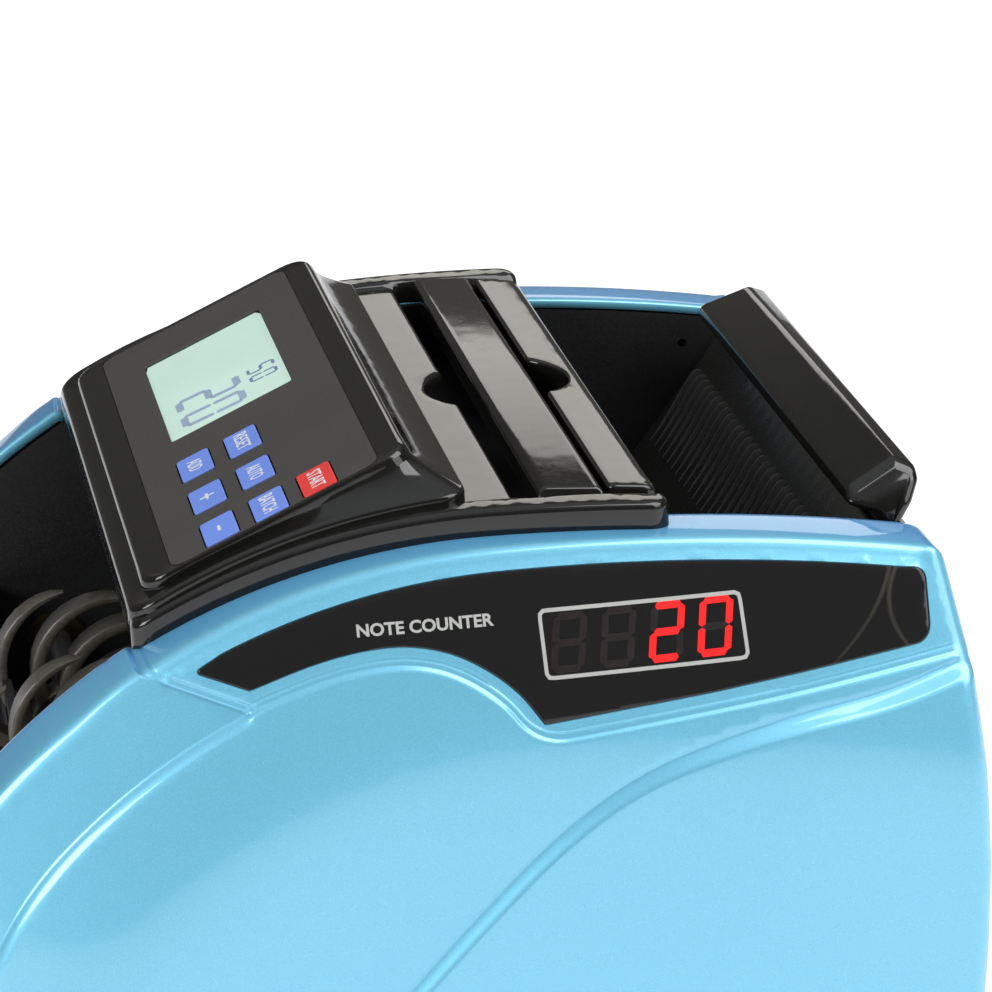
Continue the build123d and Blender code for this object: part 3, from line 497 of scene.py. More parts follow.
def fill_region(loop, lines, spacing, clear=0.7, holes=()):
    """Triangles inside a closed outline, less its holes, with edges kept along the given lines."""
    points, edges = [], []
    for line, closed in [(ring, True) for ring in (loop, *holes)] + [(line, False) for line in lines]:
        first, count = len(points), len(line)
        points += [Vector((float(a), float(b))) for a, b in line]
        edges += [(first + i, first + (i + 1) % count) for i in range(count if closed else count - 1)]
    low, high = np.min(loop, 0), np.max(loop, 0)
    u, v = np.meshgrid(np.arange(low[0], high[0], spacing), np.arange(low[1], high[1], spacing * 0.866))
    u = u + (np.arange(len(v)) % 2)[:, None] * spacing / 2
    keep = inside_distance(loop, u, v) > clear
    for ring in holes:
        keep &= inside_distance(ring, u, v) < -clear
    for line in lines:
        keep &= np.abs(line_distance(line, u, v)) > clear
    points += [Vector((float(a), float(b))) for a, b in zip(u[keep], v[keep])]
    out = delaunay_2d_cdt(points, edges, [list(range(len(loop)))], 1, 1e-5)
    flat = np.array([(p.x, p.y) for p in out[0]])
    faces = [tuple(face) for face in out[2]]
    middle = np.array([flat[list(face)].mean(0) for face in faces])
    keep = inside_distance(loop, middle[:, 0], middle[:, 1]) > 0
    for ring in holes:
        keep &= inside_distance(ring, middle[:, 0], middle[:, 1]) < 0
    return flat, [face for face, good in zip(faces, keep) if good]


def slab_mesh(loop, holes, lines, spacing, top, bottom, to_world=lambda u, v, w: (u, v, w)):
    """A closed sheet over a plan outline, between two heights or height functions, with upright walls."""
    flat, faces = fill_region(loop, lines, spacing, holes=holes)
    levels = [level(*flat.T) if callable(level) else [level] * len(flat) for level in (top, bottom)]
    verts = [to_world(u, v, w) for level in levels for (u, v), w in zip(flat, level)]
    shift = len(flat)
    used = {(a, b) for face in faces for a, b in zip(face, face[1:] + face[:1])}
    walls = [(a, b, b + shift, a + shift) for a, b in sorted(used) if (b, a) not in used]
    return verts, faces + [tuple(i + shift for i in face[::-1]) for face in faces] + walls


def rounding(distance, radius):
    """How far a surface drops near an edge that is rounded by a radius."""
    reach = np.clip(radius - distance, 0, radius)
    return radius - np.sqrt(np.maximum(radius**2 - reach**2, 0))


def bead(v, at, width):
    """A soft round ridge, 1 high at a distance."""
    return np.exp(-(((v - at) / width) ** 2))


def edge_loops(loop, insets):
    """Closed constraint lines at several insets from an outline."""
    rings = [inset_loop(loop, amount) for amount in insets]
    return [np.vstack([ring, ring[:1]]) for ring in rings]


# ---------- side shells
def along_depth(n, y0, y1, count):
    """Points on the curve a constant depth inside the arch, between two y values."""
    ys = np.linspace(y0, y1, count)
    return list(zip(ys, arch_z(ys, -n)))


TIP, HEEL, SILL_REAR, TOE, KNEE = (-46.7, 161.2), (131.6, 168.9), (131.2, 152.2), (34.9, 143.4), (-33.7, 156.5)
HOLLOW = [KNEE, (-17.6, 161.8), (-4.2, 164.1), (6.4, 163.9), (17.3, 160.6), (28.6, 152.6), TOE]
WINDOW_LINE = [TIP, *along_depth(5.2, -42, 126, 60)[1:], HEEL, SILL_REAR, (98, 148.7), (76, 146.6), (56, 145.1)]
WINDOW_LINE += [tuple(p) for p in chaikin(HOLLOW, 3)[::-1]]
WINDOW_R = {TIP: 0.8, HEEL: 3.6, SILL_REAR: 4.4, TOE: 1.6, KNEE: 0.9}
WINDOW_LINE = even_loop(rounded_polygon(WINDOW_LINE, [WINDOW_R.get(tuple(p), 0) for p in WINDOW_LINE], 6), 1.0)

BAND_N, BORDER, GROOVE = 20.0, 4.1, 1.9
BAND_EDGE = [(-108.0, -20.0), (-107.8, 30.0)]
BAND_EDGE += arc_points(BROW_C, BROW_R - BAND_N, math.pi, math.pi / 2 + FRONT_ARC, 24)
BAND_EDGE += along_depth(BAND_N, -76.0, -38.0, 14)
UNDER_WINDOW = chaikin([*HOLLOW, (46, 144.2), (56, 145.0), (76, 146.6), (98, 148.6), (134, 152.8), (160, 156.2)], 3)[3:]
BODY_EDGE = resample(np.vstack([BAND_EDGE, shift_line(resample(UNDER_WINDOW, 1.3), -BORDER)]), 1.3)
SEAM = resample([(-68.0, 164.6), (-60.8, 161.7), (-33.6, 151.2)], 1.3)
SEAM_GAP = 2.0  # between the seam and the finer line beside it
S_RIDGE = [(-70, 10), (-30, 48), (-0.9, 79), (17, 97), (37, 115.4), (57, 128), (80, 134.6), (100, 138)]
S_RIDGE = resample(chaikin([*S_RIDGE, (119, 140.2), (140, 145.8), (160, 151)], 3), 1.4)

RIM_PROFILE = [  # half width, and depth below the arch, from the cavity edge over the rim to the shoulder
    (94.4, 3.0), (94.4, 0.8), (94.65, 0.35), (95.3, 0.08), (97, 0.0), (100, 0.08), (103, 0.16), (106, 0.28),
    (108.6, 0.46), (110.0, 0.62), (110.8, 0.82), (111.5, 1.22), (112.05, 1.85), (112.5, 2.7), (113.0, 3.6),
]


def rear_edge(z):
    """The y of the rear outline at a height."""
    return np.interp(z, [8, 34, 60, 76, 97, 121, 150, 173], [132.5, 137.3, 140.4, 141.7, 142.7, 142.4, 140.6, 136.8])


def base_x(y, z):
    """Half width of the plain shell: the leaning shoulder blended into the bowed flank."""
    facet = RIM_X + FACET_SLOPE * depth(y, z)
    high, low = np.maximum(z - WAIST_Z, 0) / 80, np.maximum(WAIST_Z - z, 0) / 54
    flank = WAIST_X - 3.0 * high**2 - 2.4 * low**2
    soft = 2.6
    return flank - soft * np.log1p(np.exp(np.clip((flank - facet) / soft, -30, 30)))


def shell_x(y, z):
    """Half width of the blue shell's outer skin at a point of its side view."""
    x = base_x(y, z)
    body = -line_distance(BODY_EDGE, y, z)
    front = smooth(-33.5, -35.5, y)
    inner = body + BORDER - GROOVE
    border = 0.25 * smooth(-0.2, 0.2, inner) - 0.26 * bead(inner, 0.4, 0.3) + 0.85 * smooth(-0.25, 0.35, body)
    oval = 1.1 * smooth(-0.6, 2.2, body)
    x = x + border * (1 - front) + oval * front
    seam = line_distance(SEAM, y, z)
    ahead = smooth(0.3, -0.3, seam) * smooth(0.9, -0.3, body) * smooth(-32.5, -34.5, y)
    lines = 0.4 * bead(seam, 0, 0.35) + 0.3 * bead(seam, SEAM_GAP, 0.3)
    x = x - 0.6 * ahead - lines * smooth(0.9, -0.3, body) * smooth(-31, -33, y)
    ridge = -line_distance(S_RIDGE, y, z)
    rise = 0.35 + 0.65 * smooth(-45, 5, y) + 0.45 * smooth(50, 105, y)
    x = x + rise * (1.7 * smooth(-1.6, 1.9, ridge) - 0.35 * bead(ridge, -2.0, 0.55))
    x = x - 1.0 * smooth(0.0, 0.2, inside_distance(WINDOW_LINE, y, z))
    return x - rounding(rear_edge(z) - y, 4.0) - rounding(z - BASE_Z, 5.0)


def case_outline(step):
    """Closed side-view outline of the case: up the front, over the arch, down the back, along the base."""
    pts = [(FRONT_FOOT_Y, BASE_Z), (FRONT_Y, BROW_C[1])]
    pts += arc_points(BROW_C, BROW_R, math.pi, math.pi / 2 + FRONT_ARC, 40)
    pts += along_depth(0, BROW_TOP[0], REAR_TOP_Y, 160)[1:]
    pts += [(float(rear_edge(z)), z) for z in np.linspace(172, 9, 90)]
    pts += [(REAR_FOOT_Y, BASE_Z), (FRONT_FOOT_Y, BASE_Z)]
    ring = resample(pts, step)[:-1]
    for _ in range(int(26 / step**2)):
        ring = 0.25 * np.roll(ring, 1, 0) + 0.5 * ring + 0.25 * np.roll(ring, -1, 0)
    return ring


def rim_shift(y, z, x):
    """How far the rim lies below the plain arch: two seam lines, and a raised inner edge ahead of them."""
    seam = line_distance(SEAM, y, z)
    near = smooth(-66, -64, y) * smooth(-52, -54, y)
    ahead = np.where(y < -65, 1.0, smooth(0.3, -0.3, seam) * near)
    across = np.clip((x - CAVITY_X) / 17.1, 0, 1)
    outer = 0.8 * smooth(-76, -62, y) * np.clip((113.0 - x) / 1.5, 0, 1)
    raised = ahead * smooth(80, 120, z) * (1.4 * (1 - across) + outer * across)
    lines = near * (0.45 * bead(seam, 0, 0.35) + 0.3 * bead(seam, SEAM_GAP, 0.3))
    return lines * np.clip((x - CAVITY_X) / 0.5, 0, 1) - raised


def shell_skin(side):
    """One blue side shell: the rim as rows of points, then the leaning shoulder and the flank as one filled sheet."""
    ring = case_outline(1.5)
    by_seam = (np.abs(ring[:, 0] + 59.5) < 5) & (ring[:, 1] > 120)
    finer = np.linspace(0, 0.8, 5)[:, None]
    steps = zip(ring, np.roll(ring, -1, 0), by_seam)
    ring = np.vstack([p + (q - p) * finer if close else p[None] for p, q, close in steps])
    inward = -left_of(unit(np.roll(ring, -1, 0) - np.roll(ring, 1, 0)))
    on_arch = smooth(134.8, 131.0, ring[:, 0]) * smooth(10.0, 30.0, ring[:, 1])
    on_arch = np.where((ring[:, 1] < 150) & (ring[:, 0] > 0), 0, on_arch)[:, None]
    rows = []
    for x, inset in RIM_PROFILE:
        p = ring + inward * inset
        p = p + inward * on_arch * rim_shift(p[:, 0], p[:, 1], x)[:, None]
        edge = shell_x(p[:, 0], p[:, 1])
        across = np.clip((x - CAVITY_X) / (RIM_TURN_X - CAVITY_X), 0, 1)
        other_inset = np.interp(x, [CAVITY_X, 95.3, RIM_TURN_X, 113.55], [inset, 0.08, 0.0, 4.0])
        q = ring + inward * other_inset
        other_x = CAVITY_X + (shell_x(q[:, 0], q[:, 1]) - CAVITY_X) * across
        arch_row = np.column_stack([np.minimum(x, edge + 0.6), p])
        rows.append(on_arch * arch_row + (1 - on_arch) * np.column_stack([other_x, q]))
    verts = np.vstack(rows)
    cols = len(ring)
    faces = grid_faces(len(rows), cols, wrap=True)
    loop = rows[-1][:, 1:]
    lines = []
    for line, shifts in (
        (BODY_EDGE, (2.55, 2.3, 2.05, 1.8, 1.5, 1.15, 0.6, 0.3, -0.05, -0.4, -1.2, -2.2)),
        (S_RIDGE, (3.0, 2.4, 2.0, 1.6, 1.0, 0.4, -0.3, -1.0, -1.6, -2.1)),
        (SEAM, (0.7, 0.35, 0.0, -0.35, -0.7)),
        (SEAM, (1.5, 1.75, 2.0, 2.25, 2.5)),
    ):
        lines += [shift_line(line, amount) for amount in shifts]
    lines += edge_loops(WINDOW_LINE, (0.0, 0.2))
    keep = [line[inside_distance(loop, line[:, 0], line[:, 1]) > 0.5] for line in lines]
    flat, more = fill_region(loop, [line for line in keep if len(line) > 1], 2.0, 0.6)
    base = len(verts)
    outer = shell_x(flat[:, 0], flat[:, 1])
    rim_ring = np.abs(inside_distance(loop, flat[:, 0], flat[:, 1])) < 1e-4
    gaps = np.hypot(flat[rim_ring, None, 0] - loop[None, :, 0], flat[rim_ring, None, 1] - loop[None, :, 1])
    outer[rim_ring] = rows[-1][np.argmin(gaps, axis=1), 0]
    verts = np.vstack([verts, np.column_stack([outer, flat])])
    faces += [tuple(base + i for i in face) for face in more]
    verts[:, 0] *= side
    return verts, faces


def facet_point(y, z, lift=0.0, side=1):
    """A point on the display window's face, lifted a little along the face normal."""
    out, up = FACET_NORMAL
    return (side * (float(base_x(y, z)) + out * lift), float(y), float(z) + up * lift)


def window_mesh(name, side, node):
    """The black window: a rounded edge all round and a face that follows the shoulder."""
    levels = [(0.25, -1.3), (0.25, -0.16), (0.33, -0.04), (0.52, 0.01)]
    verts = [facet_point(y, z, lift, side) for inset, lift in levels for y, z in inset_loop(WINDOW_LINE, inset)]
    faces = grid_faces(len(levels), len(WINDOW_LINE), wrap=True)
    for inset, lift in (levels[-1], levels[0]):
        flat, more = fill_region(inset_loop(WINDOW_LINE, inset), [], 2.4)
        faces += [tuple(len(verts) + i for i in face) for face in more]
        verts += [facet_point(y, z, lift, side) for y, z in flat]
    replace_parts(new_object(name, verts, faces, WINDOW, slot="window_black", smooth_angle=40), node)


for side, label in ((1, "right"), (-1, "left")):
    skin = new_object(f"{label}_shell_skin", *shell_skin(side), BLUE, slot="blue_paint", smooth_angle=50)
    wall = skin.modifiers.new("wall", "SOLIDIFY")
    wall.thickness, wall.offset = 2.0 * MM, -1
    solid = evaluated_mesh(skin)
    skin.modifiers.clear()
    skin.data = solid
    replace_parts(skin, f"{label}_side_shell")
window_mesh("right_window_glass", 1, "right_display_window")
window_mesh("left_window_glass", -1, "left_trim_window")


# ---------- top cover
COVER_Y, COVER_X = (-58.7, 71.6), (98.0, 106.0)
SLOT_X, SLOT_FRONT_Y = 95.6, 36.1


def notch(centre_y, radius, edge_y, to_rear):
    """A finger notch's arc from +X to -X, cut into an edge at edge_y."""
    half = math.acos((edge_y - centre_y) / radius) if to_rear else math.acos((centre_y - edge_y) / radius)
    middle = math.pi / 2 if to_rear else -math.pi / 2
    turn = -half if to_rear else half
    return arc_points((0, centre_y), radius, middle + turn, middle - turn, 26)


def cover_half(v):
    """Half width of the cover at a y."""
    return np.interp(v, COVER_Y, COVER_X)


cover_notch = notch(48.2, 18.5, SLOT_FRONT_Y, False)
right_half = [(COVER_X[0], COVER_Y[0]), (COVER_X[1], COVER_Y[1]), (SLOT_X, COVER_Y[1]), (SLOT_X, SLOT_FRONT_Y)]
left_half = [(-x, y) for x, y in right_half[::-1]]
plan = [left_half[-1], *right_half, *cover_notch, *left_half[:-1]]
corner_r = [4, 4, 7, 2.6, 1.6, 2.5, *[0] * (len(cover_notch) - 2), 2.5, 1.6, 2.6, 7]
COVER_LOOP = even_loop(rounded_polygon(plan, corner_r, 7))
under_head = even_loop(rounded_polygon(box((-88, 88), (-46, 12)), 3), 4)


def cover_top(u, v):
    """Height of the cover's upper face, with a raised rail along each side."""
    edge = cover_half(v) - np.abs(u)
    rail = 1.7 * (1 - smooth(7.6, 9.6, edge))
    return arch_z(v) + 4.7 + rail - rounding(inside_distance(COVER_LOOP, u, v), 1.8)


def cover_bottom(u, v):
    return arch_z(v) + np.where(np.abs(u) < 93.6, 1.8, -0.6)


ys = np.arange(-54, 68, 3.0)
from_edge = (7.4, 8.0, 8.6, 9.2, 9.8)
rails = [np.column_stack([side * (cover_half(ys) - edge), ys]) for edge in from_edge for side in (-1, 1)]
rails += edge_loops(COVER_LOOP, (0.1, 0.35, 0.75, 1.2, 1.8))
cover = slab_mesh(COVER_LOOP, [under_head], rails, 3.0, cover_top, cover_bottom)
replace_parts(new_object("top_cover_skin", *cover, PIANO, slot="piano_black", smooth_angle=45), "top_cover")


# ---------- control head
PAD_FRONT, PAD_REAR = (-47.1, 177.6), (4.3, 199.6)
PAD_LENGTH = math.dist(PAD_FRONT, PAD_REAR)
LCD_X, LCD_S = (-65.5, 2.5), (10.5, 45.2)
KEY_W, KEY_H, KEY_GAP = 15.8, 8.8, 0.4
KEYS = {
    "key_add": (27.2, 14.1, "ADD"), "key_plus": (52.4, 14.1, "+"), "key_minus": (76.9, 14.1, "-"),
    "key_reset": (27.6, 27.4, "RESET"), "key_auto": (52.7, 27.4, "AUTO"), "key_batch": (77.4, 27.4, "BATCH"),
    "key_start": (77.6, 40.4, "START"),
}


def slope_frame(foot, top):
    """A function that places a point (across, up, out) on a slope between two (y, z) points."""
    length = math.dist(foot, top)
    cos, sin = (top[0] - foot[0]) / length, (top[1] - foot[1]) / length
    return lambda x, s, n: (x, foot[0] + s * cos - n * sin, foot[1] + s * sin + n * cos)


def over_arch(points, lift):
    """Plan points at a height above the arch."""
    return [(x, y, float(arch_z(y)) + lift) for x, y in points]


def rounded_rect(x, y, radius):
    """A rounded rectangle whose points fall in a fixed order, so that two of them can be joined."""
    low_x, high_x, low_y, high_y = x[0] + radius, x[1] - radius, y[0] + radius, y[1] - radius
    centres = [(high_x, low_y), (high_x, high_y), (low_x, high_y), (low_x, low_y)]
    quarters = [arc_points(c, radius, math.pi / 2 * (i - 1), math.pi / 2 * i, 7) for i, c in enumerate(centres)]
    out = []
    for i, arc in enumerate(quarters):
        first, end = arc[-1], quarters[(i + 1) % 4][0]
        count = 12 if i % 2 == 0 else 24
        out += arc
        out += [tuple(p + (q - p) * k / count for p, q in zip(first, end)) for k in range(1, count)]
    return np.array(out)


pad_world = slope_frame(PAD_FRONT, PAD_REAR)
rim_outer = rounded_rect((-88, 88), (-9.1, 63.7), 7)
rim_inner = rounded_rect((-86.2, 86.2), (-0.2, PAD_LENGTH + 0.2), 4.2)
foot = rounded_rect((-95.5, 95.5), (COVER_Y[0], 24.2), 6.5)
foot_in = rounded_rect((-94.2, 94.2), (-57.5, 23.0), 5.5)
cavity_foot = rounded_rect((-88.5, 88.5), (-53.5, 17.5), 3)
cavity_top = rounded_rect((-85.4, 85.4), (0.8, PAD_LENGTH - 0.8), 3.4)
shoulder = [pad_world(x, s, -2.6) for x, s in rim_outer]
rows = [over_arch(foot, 4.0)]
rows += [over_arch(inset_loop(foot, inset), lift) for inset, lift in ((0, 7.4), (0.12, 7.9), (0.45, 8.3), (0.9, 8.45))]
start = over_arch(foot_in, 8.6)
for t in np.linspace(0, 1, 15)[:-1]:
    across = 1 - (1 - t) ** 1.45
    rows.append([tuple(p + (q - p) * k for p, q, k in zip(a, b, (across, across, t))) for a, b in zip(start, shoulder)])
rows.append(shoulder)
HEAD_RIM = [  # from the outer to the inner rim as a fraction, and height above the keypad's plane
    (0.03, -1.5), (0.08, -0.75), (0.14, -0.2), (0.21, 0.12), (0.28, 0.2), (0.36, 0.08), (0.45, -0.1), (0.55, -0.17),
    (0.97, -0.12), (1.0, -0.2), (1.0, -0.86),
]
rows += [[pad_world(*p, n) for p in rim_outer + (rim_inner - rim_outer) * u] for u, n in HEAD_RIM]
rows.append([pad_world(x, s, -3.0) for x, s in cavity_top])
rows.append(over_arch(cavity_foot, 4.5))
lcd_hole = even_loop(rounded_polygon(box(LCD_X, LCD_S), 0.8, 4), 4)
w, h = KEY_W / 2 + KEY_GAP, KEY_H / 2 + KEY_GAP
key_holes = [rounded_polygon(box((x - w, x + w), (s - h, s + h)), 1.3, 4) for x, s, _ in KEYS.values()]
plate_loop = rounded_rect((-86.1, 86.1), (-0.1, PAD_LENGTH + 0.1), 4.1)
plate = slab_mesh(plate_loop, [lcd_hole, *key_holes], [], 9.0, -0.86, -3.0, pad_world)
head = merge(loops_ring(rows), plate)
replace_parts(new_object("control_head_skin", *head, PIANO, slot="piano_black", smooth_angle=42), "control_head")


# ---------- digits and lettering
SEGMENTS = {"0": "abcdef", "2": "abged", "5": "afgcd"}  # the lit bars of each figure in use


def segment_shapes(width, height, thick, gap=0.12):
    """The seven bars of a digit as six-cornered outlines, from its lower left corner."""
    half, mid = thick / 2, height / 2
    right, top = width - half, height - half
    lines = {
        "a": ((half, top), (right, top)), "b": ((right, top), (right, mid)), "c": ((right, mid), (right, half)),
        "d": ((half, half), (right, half)), "e": ((half, mid), (half, half)), "f": ((half, top), (half, mid)),
        "g": ((half, mid), (right, mid)),
    }
    shapes = {}
    for name, (p, q) in lines.items():
        p, q = np.array(p), np.array(q)
        d = (q - p) / np.linalg.norm(q - p)
        n = np.array([-d[1], d[0]]) * half
        p, q = p + d * gap, q - d * gap
        cut = d * half * 0.62
        shapes[name] = [p, p + cut + n, q - cut + n, q, q - cut - n, p + cut - n]
    return shapes


def digit_mesh(chars, at, size, thick, slant, pitch, to_world, low, high, unlit=False):
    """Seven-segment figures, lit or unlit bars only, leaning by a slant."""
    tiles = []
    for i, char in enumerate(chars):
        lit = SEGMENTS.get(char, "")
        for name, outline in segment_shapes(*size, thick).items():
            if (name in lit) != unlit:
                leaned = [(at[0] + i * pitch + u + slant * v, at[1] + v) for u, v in outline]
                tiles.append(loops_solid([[to_world(u, v, n) for u, v in leaned] for n in (low, high)]))
    return merge(*tiles)


def text_outline(text, size, weight, thick):
    """Lettering as a closed mesh in its own plane, centred; returns its points and faces."""
    curve = bpy.data.curves.new("lettering", "FONT")
    curve.body, curve.size, curve.offset, curve.extrude = text, size, weight, thick / 2
    curve.align_x, curve.align_y, curve.resolution_u = "CENTER", "CENTER", 3
    holder = bpy.data.objects.new("lettering", curve)
    bpy.context.collection.objects.link(holder)
    bpy.context.view_layer.update()
    mesh = evaluated_mesh(holder)
    bpy.data.objects.remove(holder)
    points = np.array([tuple(v.co) for v in mesh.vertices])
    faces = [tuple(p.vertices) for p in mesh.polygons]
    bpy.data.meshes.remove(mesh)
    return points, faces


def lettering(name, text, centre, width, height, weight, to_world, lift, material, body="case", slot=None):
    """Lettering fitted to a width and height about a centre, laid on a surface."""
    points, faces = text_outline(text, 10, weight, 1.0)
    low, high = points.min(0), points.max(0)
    flat = (points - (low + high) / 2)[:, :2] * (width, height) / (high - low)[:2] + centre
    verts = [to_world(u, v, lift + 0.04 * side) for (u, v), side in zip(flat, np.sign(points[:, 2]))]
    new_object(name, verts, faces, material, body, slot)


KEY_TEXT = {"+": (3.8, 3.8), "-": (3.4, 0.8), "ADD": (7.4, 3.8), "AUTO": (9.4, 3.8)}
for name, (x, s, text) in KEYS.items():
    width, height = KEY_TEXT.get(text, (11.6, 3.8))
    slot = "key_red" if text == "START" else "key_blue"
    lettering(f"{name}_legend", text, (x, s), width, height, 0.10, pad_world, 0.27, LEGEND, f"{name}_body", slot)

for name, chars, at, size, thick, pitch, ink in (
    ("lcd_count", "20", (-27.5, 14.5), (9.6, 18.5), 2.1, 12.6, SEGMENT_PALE),
    ("lcd_batch", "50", (-24.5, 35.2), (4.6, 8.0), 0.9, 6.4, SEGMENT),
):
    new_object(name, *digit_mesh(chars, at, size, thick, 0.10, pitch, pad_world, -1.02, -0.96), ink, slot="lcd_screen")


def frame_line(loop, width, to_world, low, high):
    """A thin raised line that follows a closed outline."""
    inner = inset_loop(loop, width)
    edges = ((loop, low), (loop, high), (inner, high), (inner, low))
    return loops_ring([[to_world(u, v, n) for u, v in ring] for ring, n in edges])


LED_FRAME = rounded_polygon([(36.0, 153.6), (85.9, 153.3), (85.2, 168.9), (35.6, 169.6)], 1.5, 6)
frame_mesh = frame_line(even_loop(LED_FRAME, 1.5), 0.9, facet_point, -0.1, 0.09)
new_object("led_frame_line", *frame_mesh, PRINT, slot="window_black")
LED_AT, LED_SIZE, LED_BAR, LED_SLANT, LED_PITCH = (37.2, 154.9), (8.3, 13.4), 1.7, 0.17, 11.9
for name, high, ink, unlit in (("led_digits_lit", 0.08, LED_ON, False), ("led_digits_unlit", 0.06, LED_OFF, True)):
    figures = digit_mesh("  20", LED_AT, LED_SIZE, LED_BAR, LED_SLANT, LED_PITCH, facet_point, -0.1, high, unlit)
    new_object(name, *figures, ink, slot="window_black")
SIDE_TEXT_AT, SIDE_TEXT_W, SIDE_TEXT_H = (8.8, 168.4), 32.5, 2.9
lettering("side_lettering", "NOTE COUNTER", SIDE_TEXT_AT, SIDE_TEXT_W, SIDE_TEXT_H, 0.30, facet_point, 0.05, PRINT,
          slot="window_black")


# ---------- handle, hopper strip, grip bar
HANDLE = [(41.3, 183.9), (57.4, 183.9), (57.4, 188.9), (56.2, 190.2), (42.6, 191.3), (41.3, 190.0)]
HANDLE = even_loop(rounded_polygon(HANDLE, [0.8, 0.8, 1.2, 1.4, 1.6, 1.6], 5), 0.8)
HANDLE_X, LEG_X = 95.0, 83.0
bar = prism_mesh(HANDLE, HANDLE_X, 0.7, slope=0.55, from_z=187.5)
legs = [post_mesh((side * LEG_X - 3, side * LEG_X + 3), (42, 49), (132, 185)) for side in (-1, 1)]
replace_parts(new_object("handle_skin", *merge(bar, *legs), PIANO, "handle", "piano_black", 40), "carry_handle")

STRIP_X, STRIP_FRONT_Y, STRIP_REAR_Y = 92.5, 58.6, 71.3
strip_notch = notch(49.8, 16.9, STRIP_FRONT_Y, True)
plan = [(-STRIP_X, STRIP_FRONT_Y), *strip_notch[::-1], (STRIP_X, STRIP_FRONT_Y)]
plan += [(STRIP_X, STRIP_REAR_Y), (-STRIP_X, STRIP_REAR_Y)]
radii = [1.6, 1.2, *[0] * (len(strip_notch) - 2), 1.2, 1.6, 3.0, 3.0]
STRIP_LOOP = even_loop(rounded_polygon(plan, radii, 6), 1.2)


def strip_top(u, v):
    """Height of the hopper wall's top strip, which falls away at its rear edge."""
    fall = rounding(inside_distance(STRIP_LOOP, u, v), 1.1)
    return 189.9 - 0.12 * (v - 59.4) - fall - 0.8 * rounding(STRIP_REAR_Y - v, 3.4)


rings = edge_loops(STRIP_LOOP, (0.08, 0.3, 0.65, 1.1))
rings += [np.array([(x, STRIP_REAR_Y - inset) for x in np.arange(-88, 89, 4.0)]) for inset in (1.7, 2.4, 3.4)]
strip = slab_mesh(STRIP_LOOP, [], rings, 2.6, strip_top, 184.0)
wall_line = np.array([(66, 184.6), (63.6, 168), (62.4, 160), (58, 132)])
wall_side = np.vstack([shift_line(wall_line, 1.2), shift_line(wall_line, -1.2)[::-1]])
wall = prism_mesh(wall_side, CAVITY_X, 0.2)
hopper_wall = new_object("hopper_wall_skin", *merge(strip, wall), PIANO, slot="piano_black", smooth_angle=40)
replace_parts(hopper_wall, "hopper_front_wall")

GRIP = [(119.6, 176.0), (126.6, 173.2), (128.6, 168.5), (132.6, 168.5), (134.8, 172.5), (138.9, 179.6), (138.5, 182.8)]
GRIP += [(133.4, 185.0), (120.8, 179.6)]
GRIP = even_loop(rounded_polygon(GRIP, [1.2, 3.0, 0.6, 0.6, 1.5, 2.0, 2.0, 1.6, 2.6], 6), 0.9)
grip = prism_mesh(GRIP, 86.2, 2.4, slope=0.72, from_z=175)
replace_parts(new_object("grip_bar_skin", *grip, PIANO, "door", "piano_black", 40), "rear_grip_bar")

SLOPE_FOOT, SLOPE_TOP, DOOR_X, PLATE_T = (92.0, 123.0), (128.0, 168.0), 92.0, 2.4
RIB_PITCH, RIB_TOP_S = 5.3, 46.6
RIB_ROWS = [  # distance up the plate, height and half width
    (22, 0.02, 0.5), (27, 0.4, 0.5), (32, 0.9, 0.5), (37, 1.5, 0.48), (42, 2.0, 0.46), (45, 2.0, 0.44),
    (46.2, 1.3, 0.4), (RIB_TOP_S, 0.1, 0.3),
]
slope_world = slope_frame(SLOPE_FOOT, SLOPE_TOP)


def rib_mesh(x):
    """A rib that rises out of the plate towards its rounded top end."""
    loops = []
    for s, height, half in RIB_ROWS:
        section = [(-half, -0.4), (half, -0.4), (half * 0.9, height * 0.6), (half * 0.45, height)]
        section += [(-half * 0.45, height), (-half * 0.9, height * 0.6)]
        loops.append([slope_world(x + u, s, n) for u, n in section])
    return loops_solid(loops)


plate_loop = rounded_rect((-DOOR_X, DOOR_X), (0, math.dist(SLOPE_FOOT, SLOPE_TOP)), 1.0)
plate = slab_mesh(plate_loop, [], edge_loops(plate_loop, (0.3, 0.9)), 8.0,
                  lambda u, v: -rounding(inside_distance(plate_loop, u, v), 0.9), -PLATE_T, slope_world)
ribs = [rib_mesh(i * RIB_PITCH) for i in range(-16, 17)]
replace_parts(new_object("hopper_plate_skin", *plate, HOPPER_BLACK, "door", "matte_black", 40), "hopper_plate")
new_object("hopper_plate_ribs", *merge(*ribs), RIB_PAINTED_HIGHLIGHT, "door", "matte_black", 40)


# ---------- finger wheels
WHEEL_C, WHEEL_X, WHEEL_W, FINGERS = (-65.0, 95.0), 25.0, 9.0, 12


def polar(radius, degrees):
    """A point at a radius and an angle."""
    angle = math.radians(degrees)
    return radius * np.array([math.cos(angle), math.sin(angle)])


def arc_through(a, b, c, count):
    """Points along the circular arc from a through b to c."""
    m = 2 * np.array([b - a, c - a])
    centre = np.linalg.solve(m, np.array([b @ b - a @ a, c @ c - a @ a]))
    start, middle, end = (math.atan2(*(p - centre)[::-1]) for p in (a, b, c))
    turn = (end - start) % (2 * math.pi)
    if (middle - start) % (2 * math.pi) > turn:
        turn -= 2 * math.pi
    radius = np.linalg.norm(a - centre)
    return np.array(arc_points(centre, radius, start, start + turn, count))


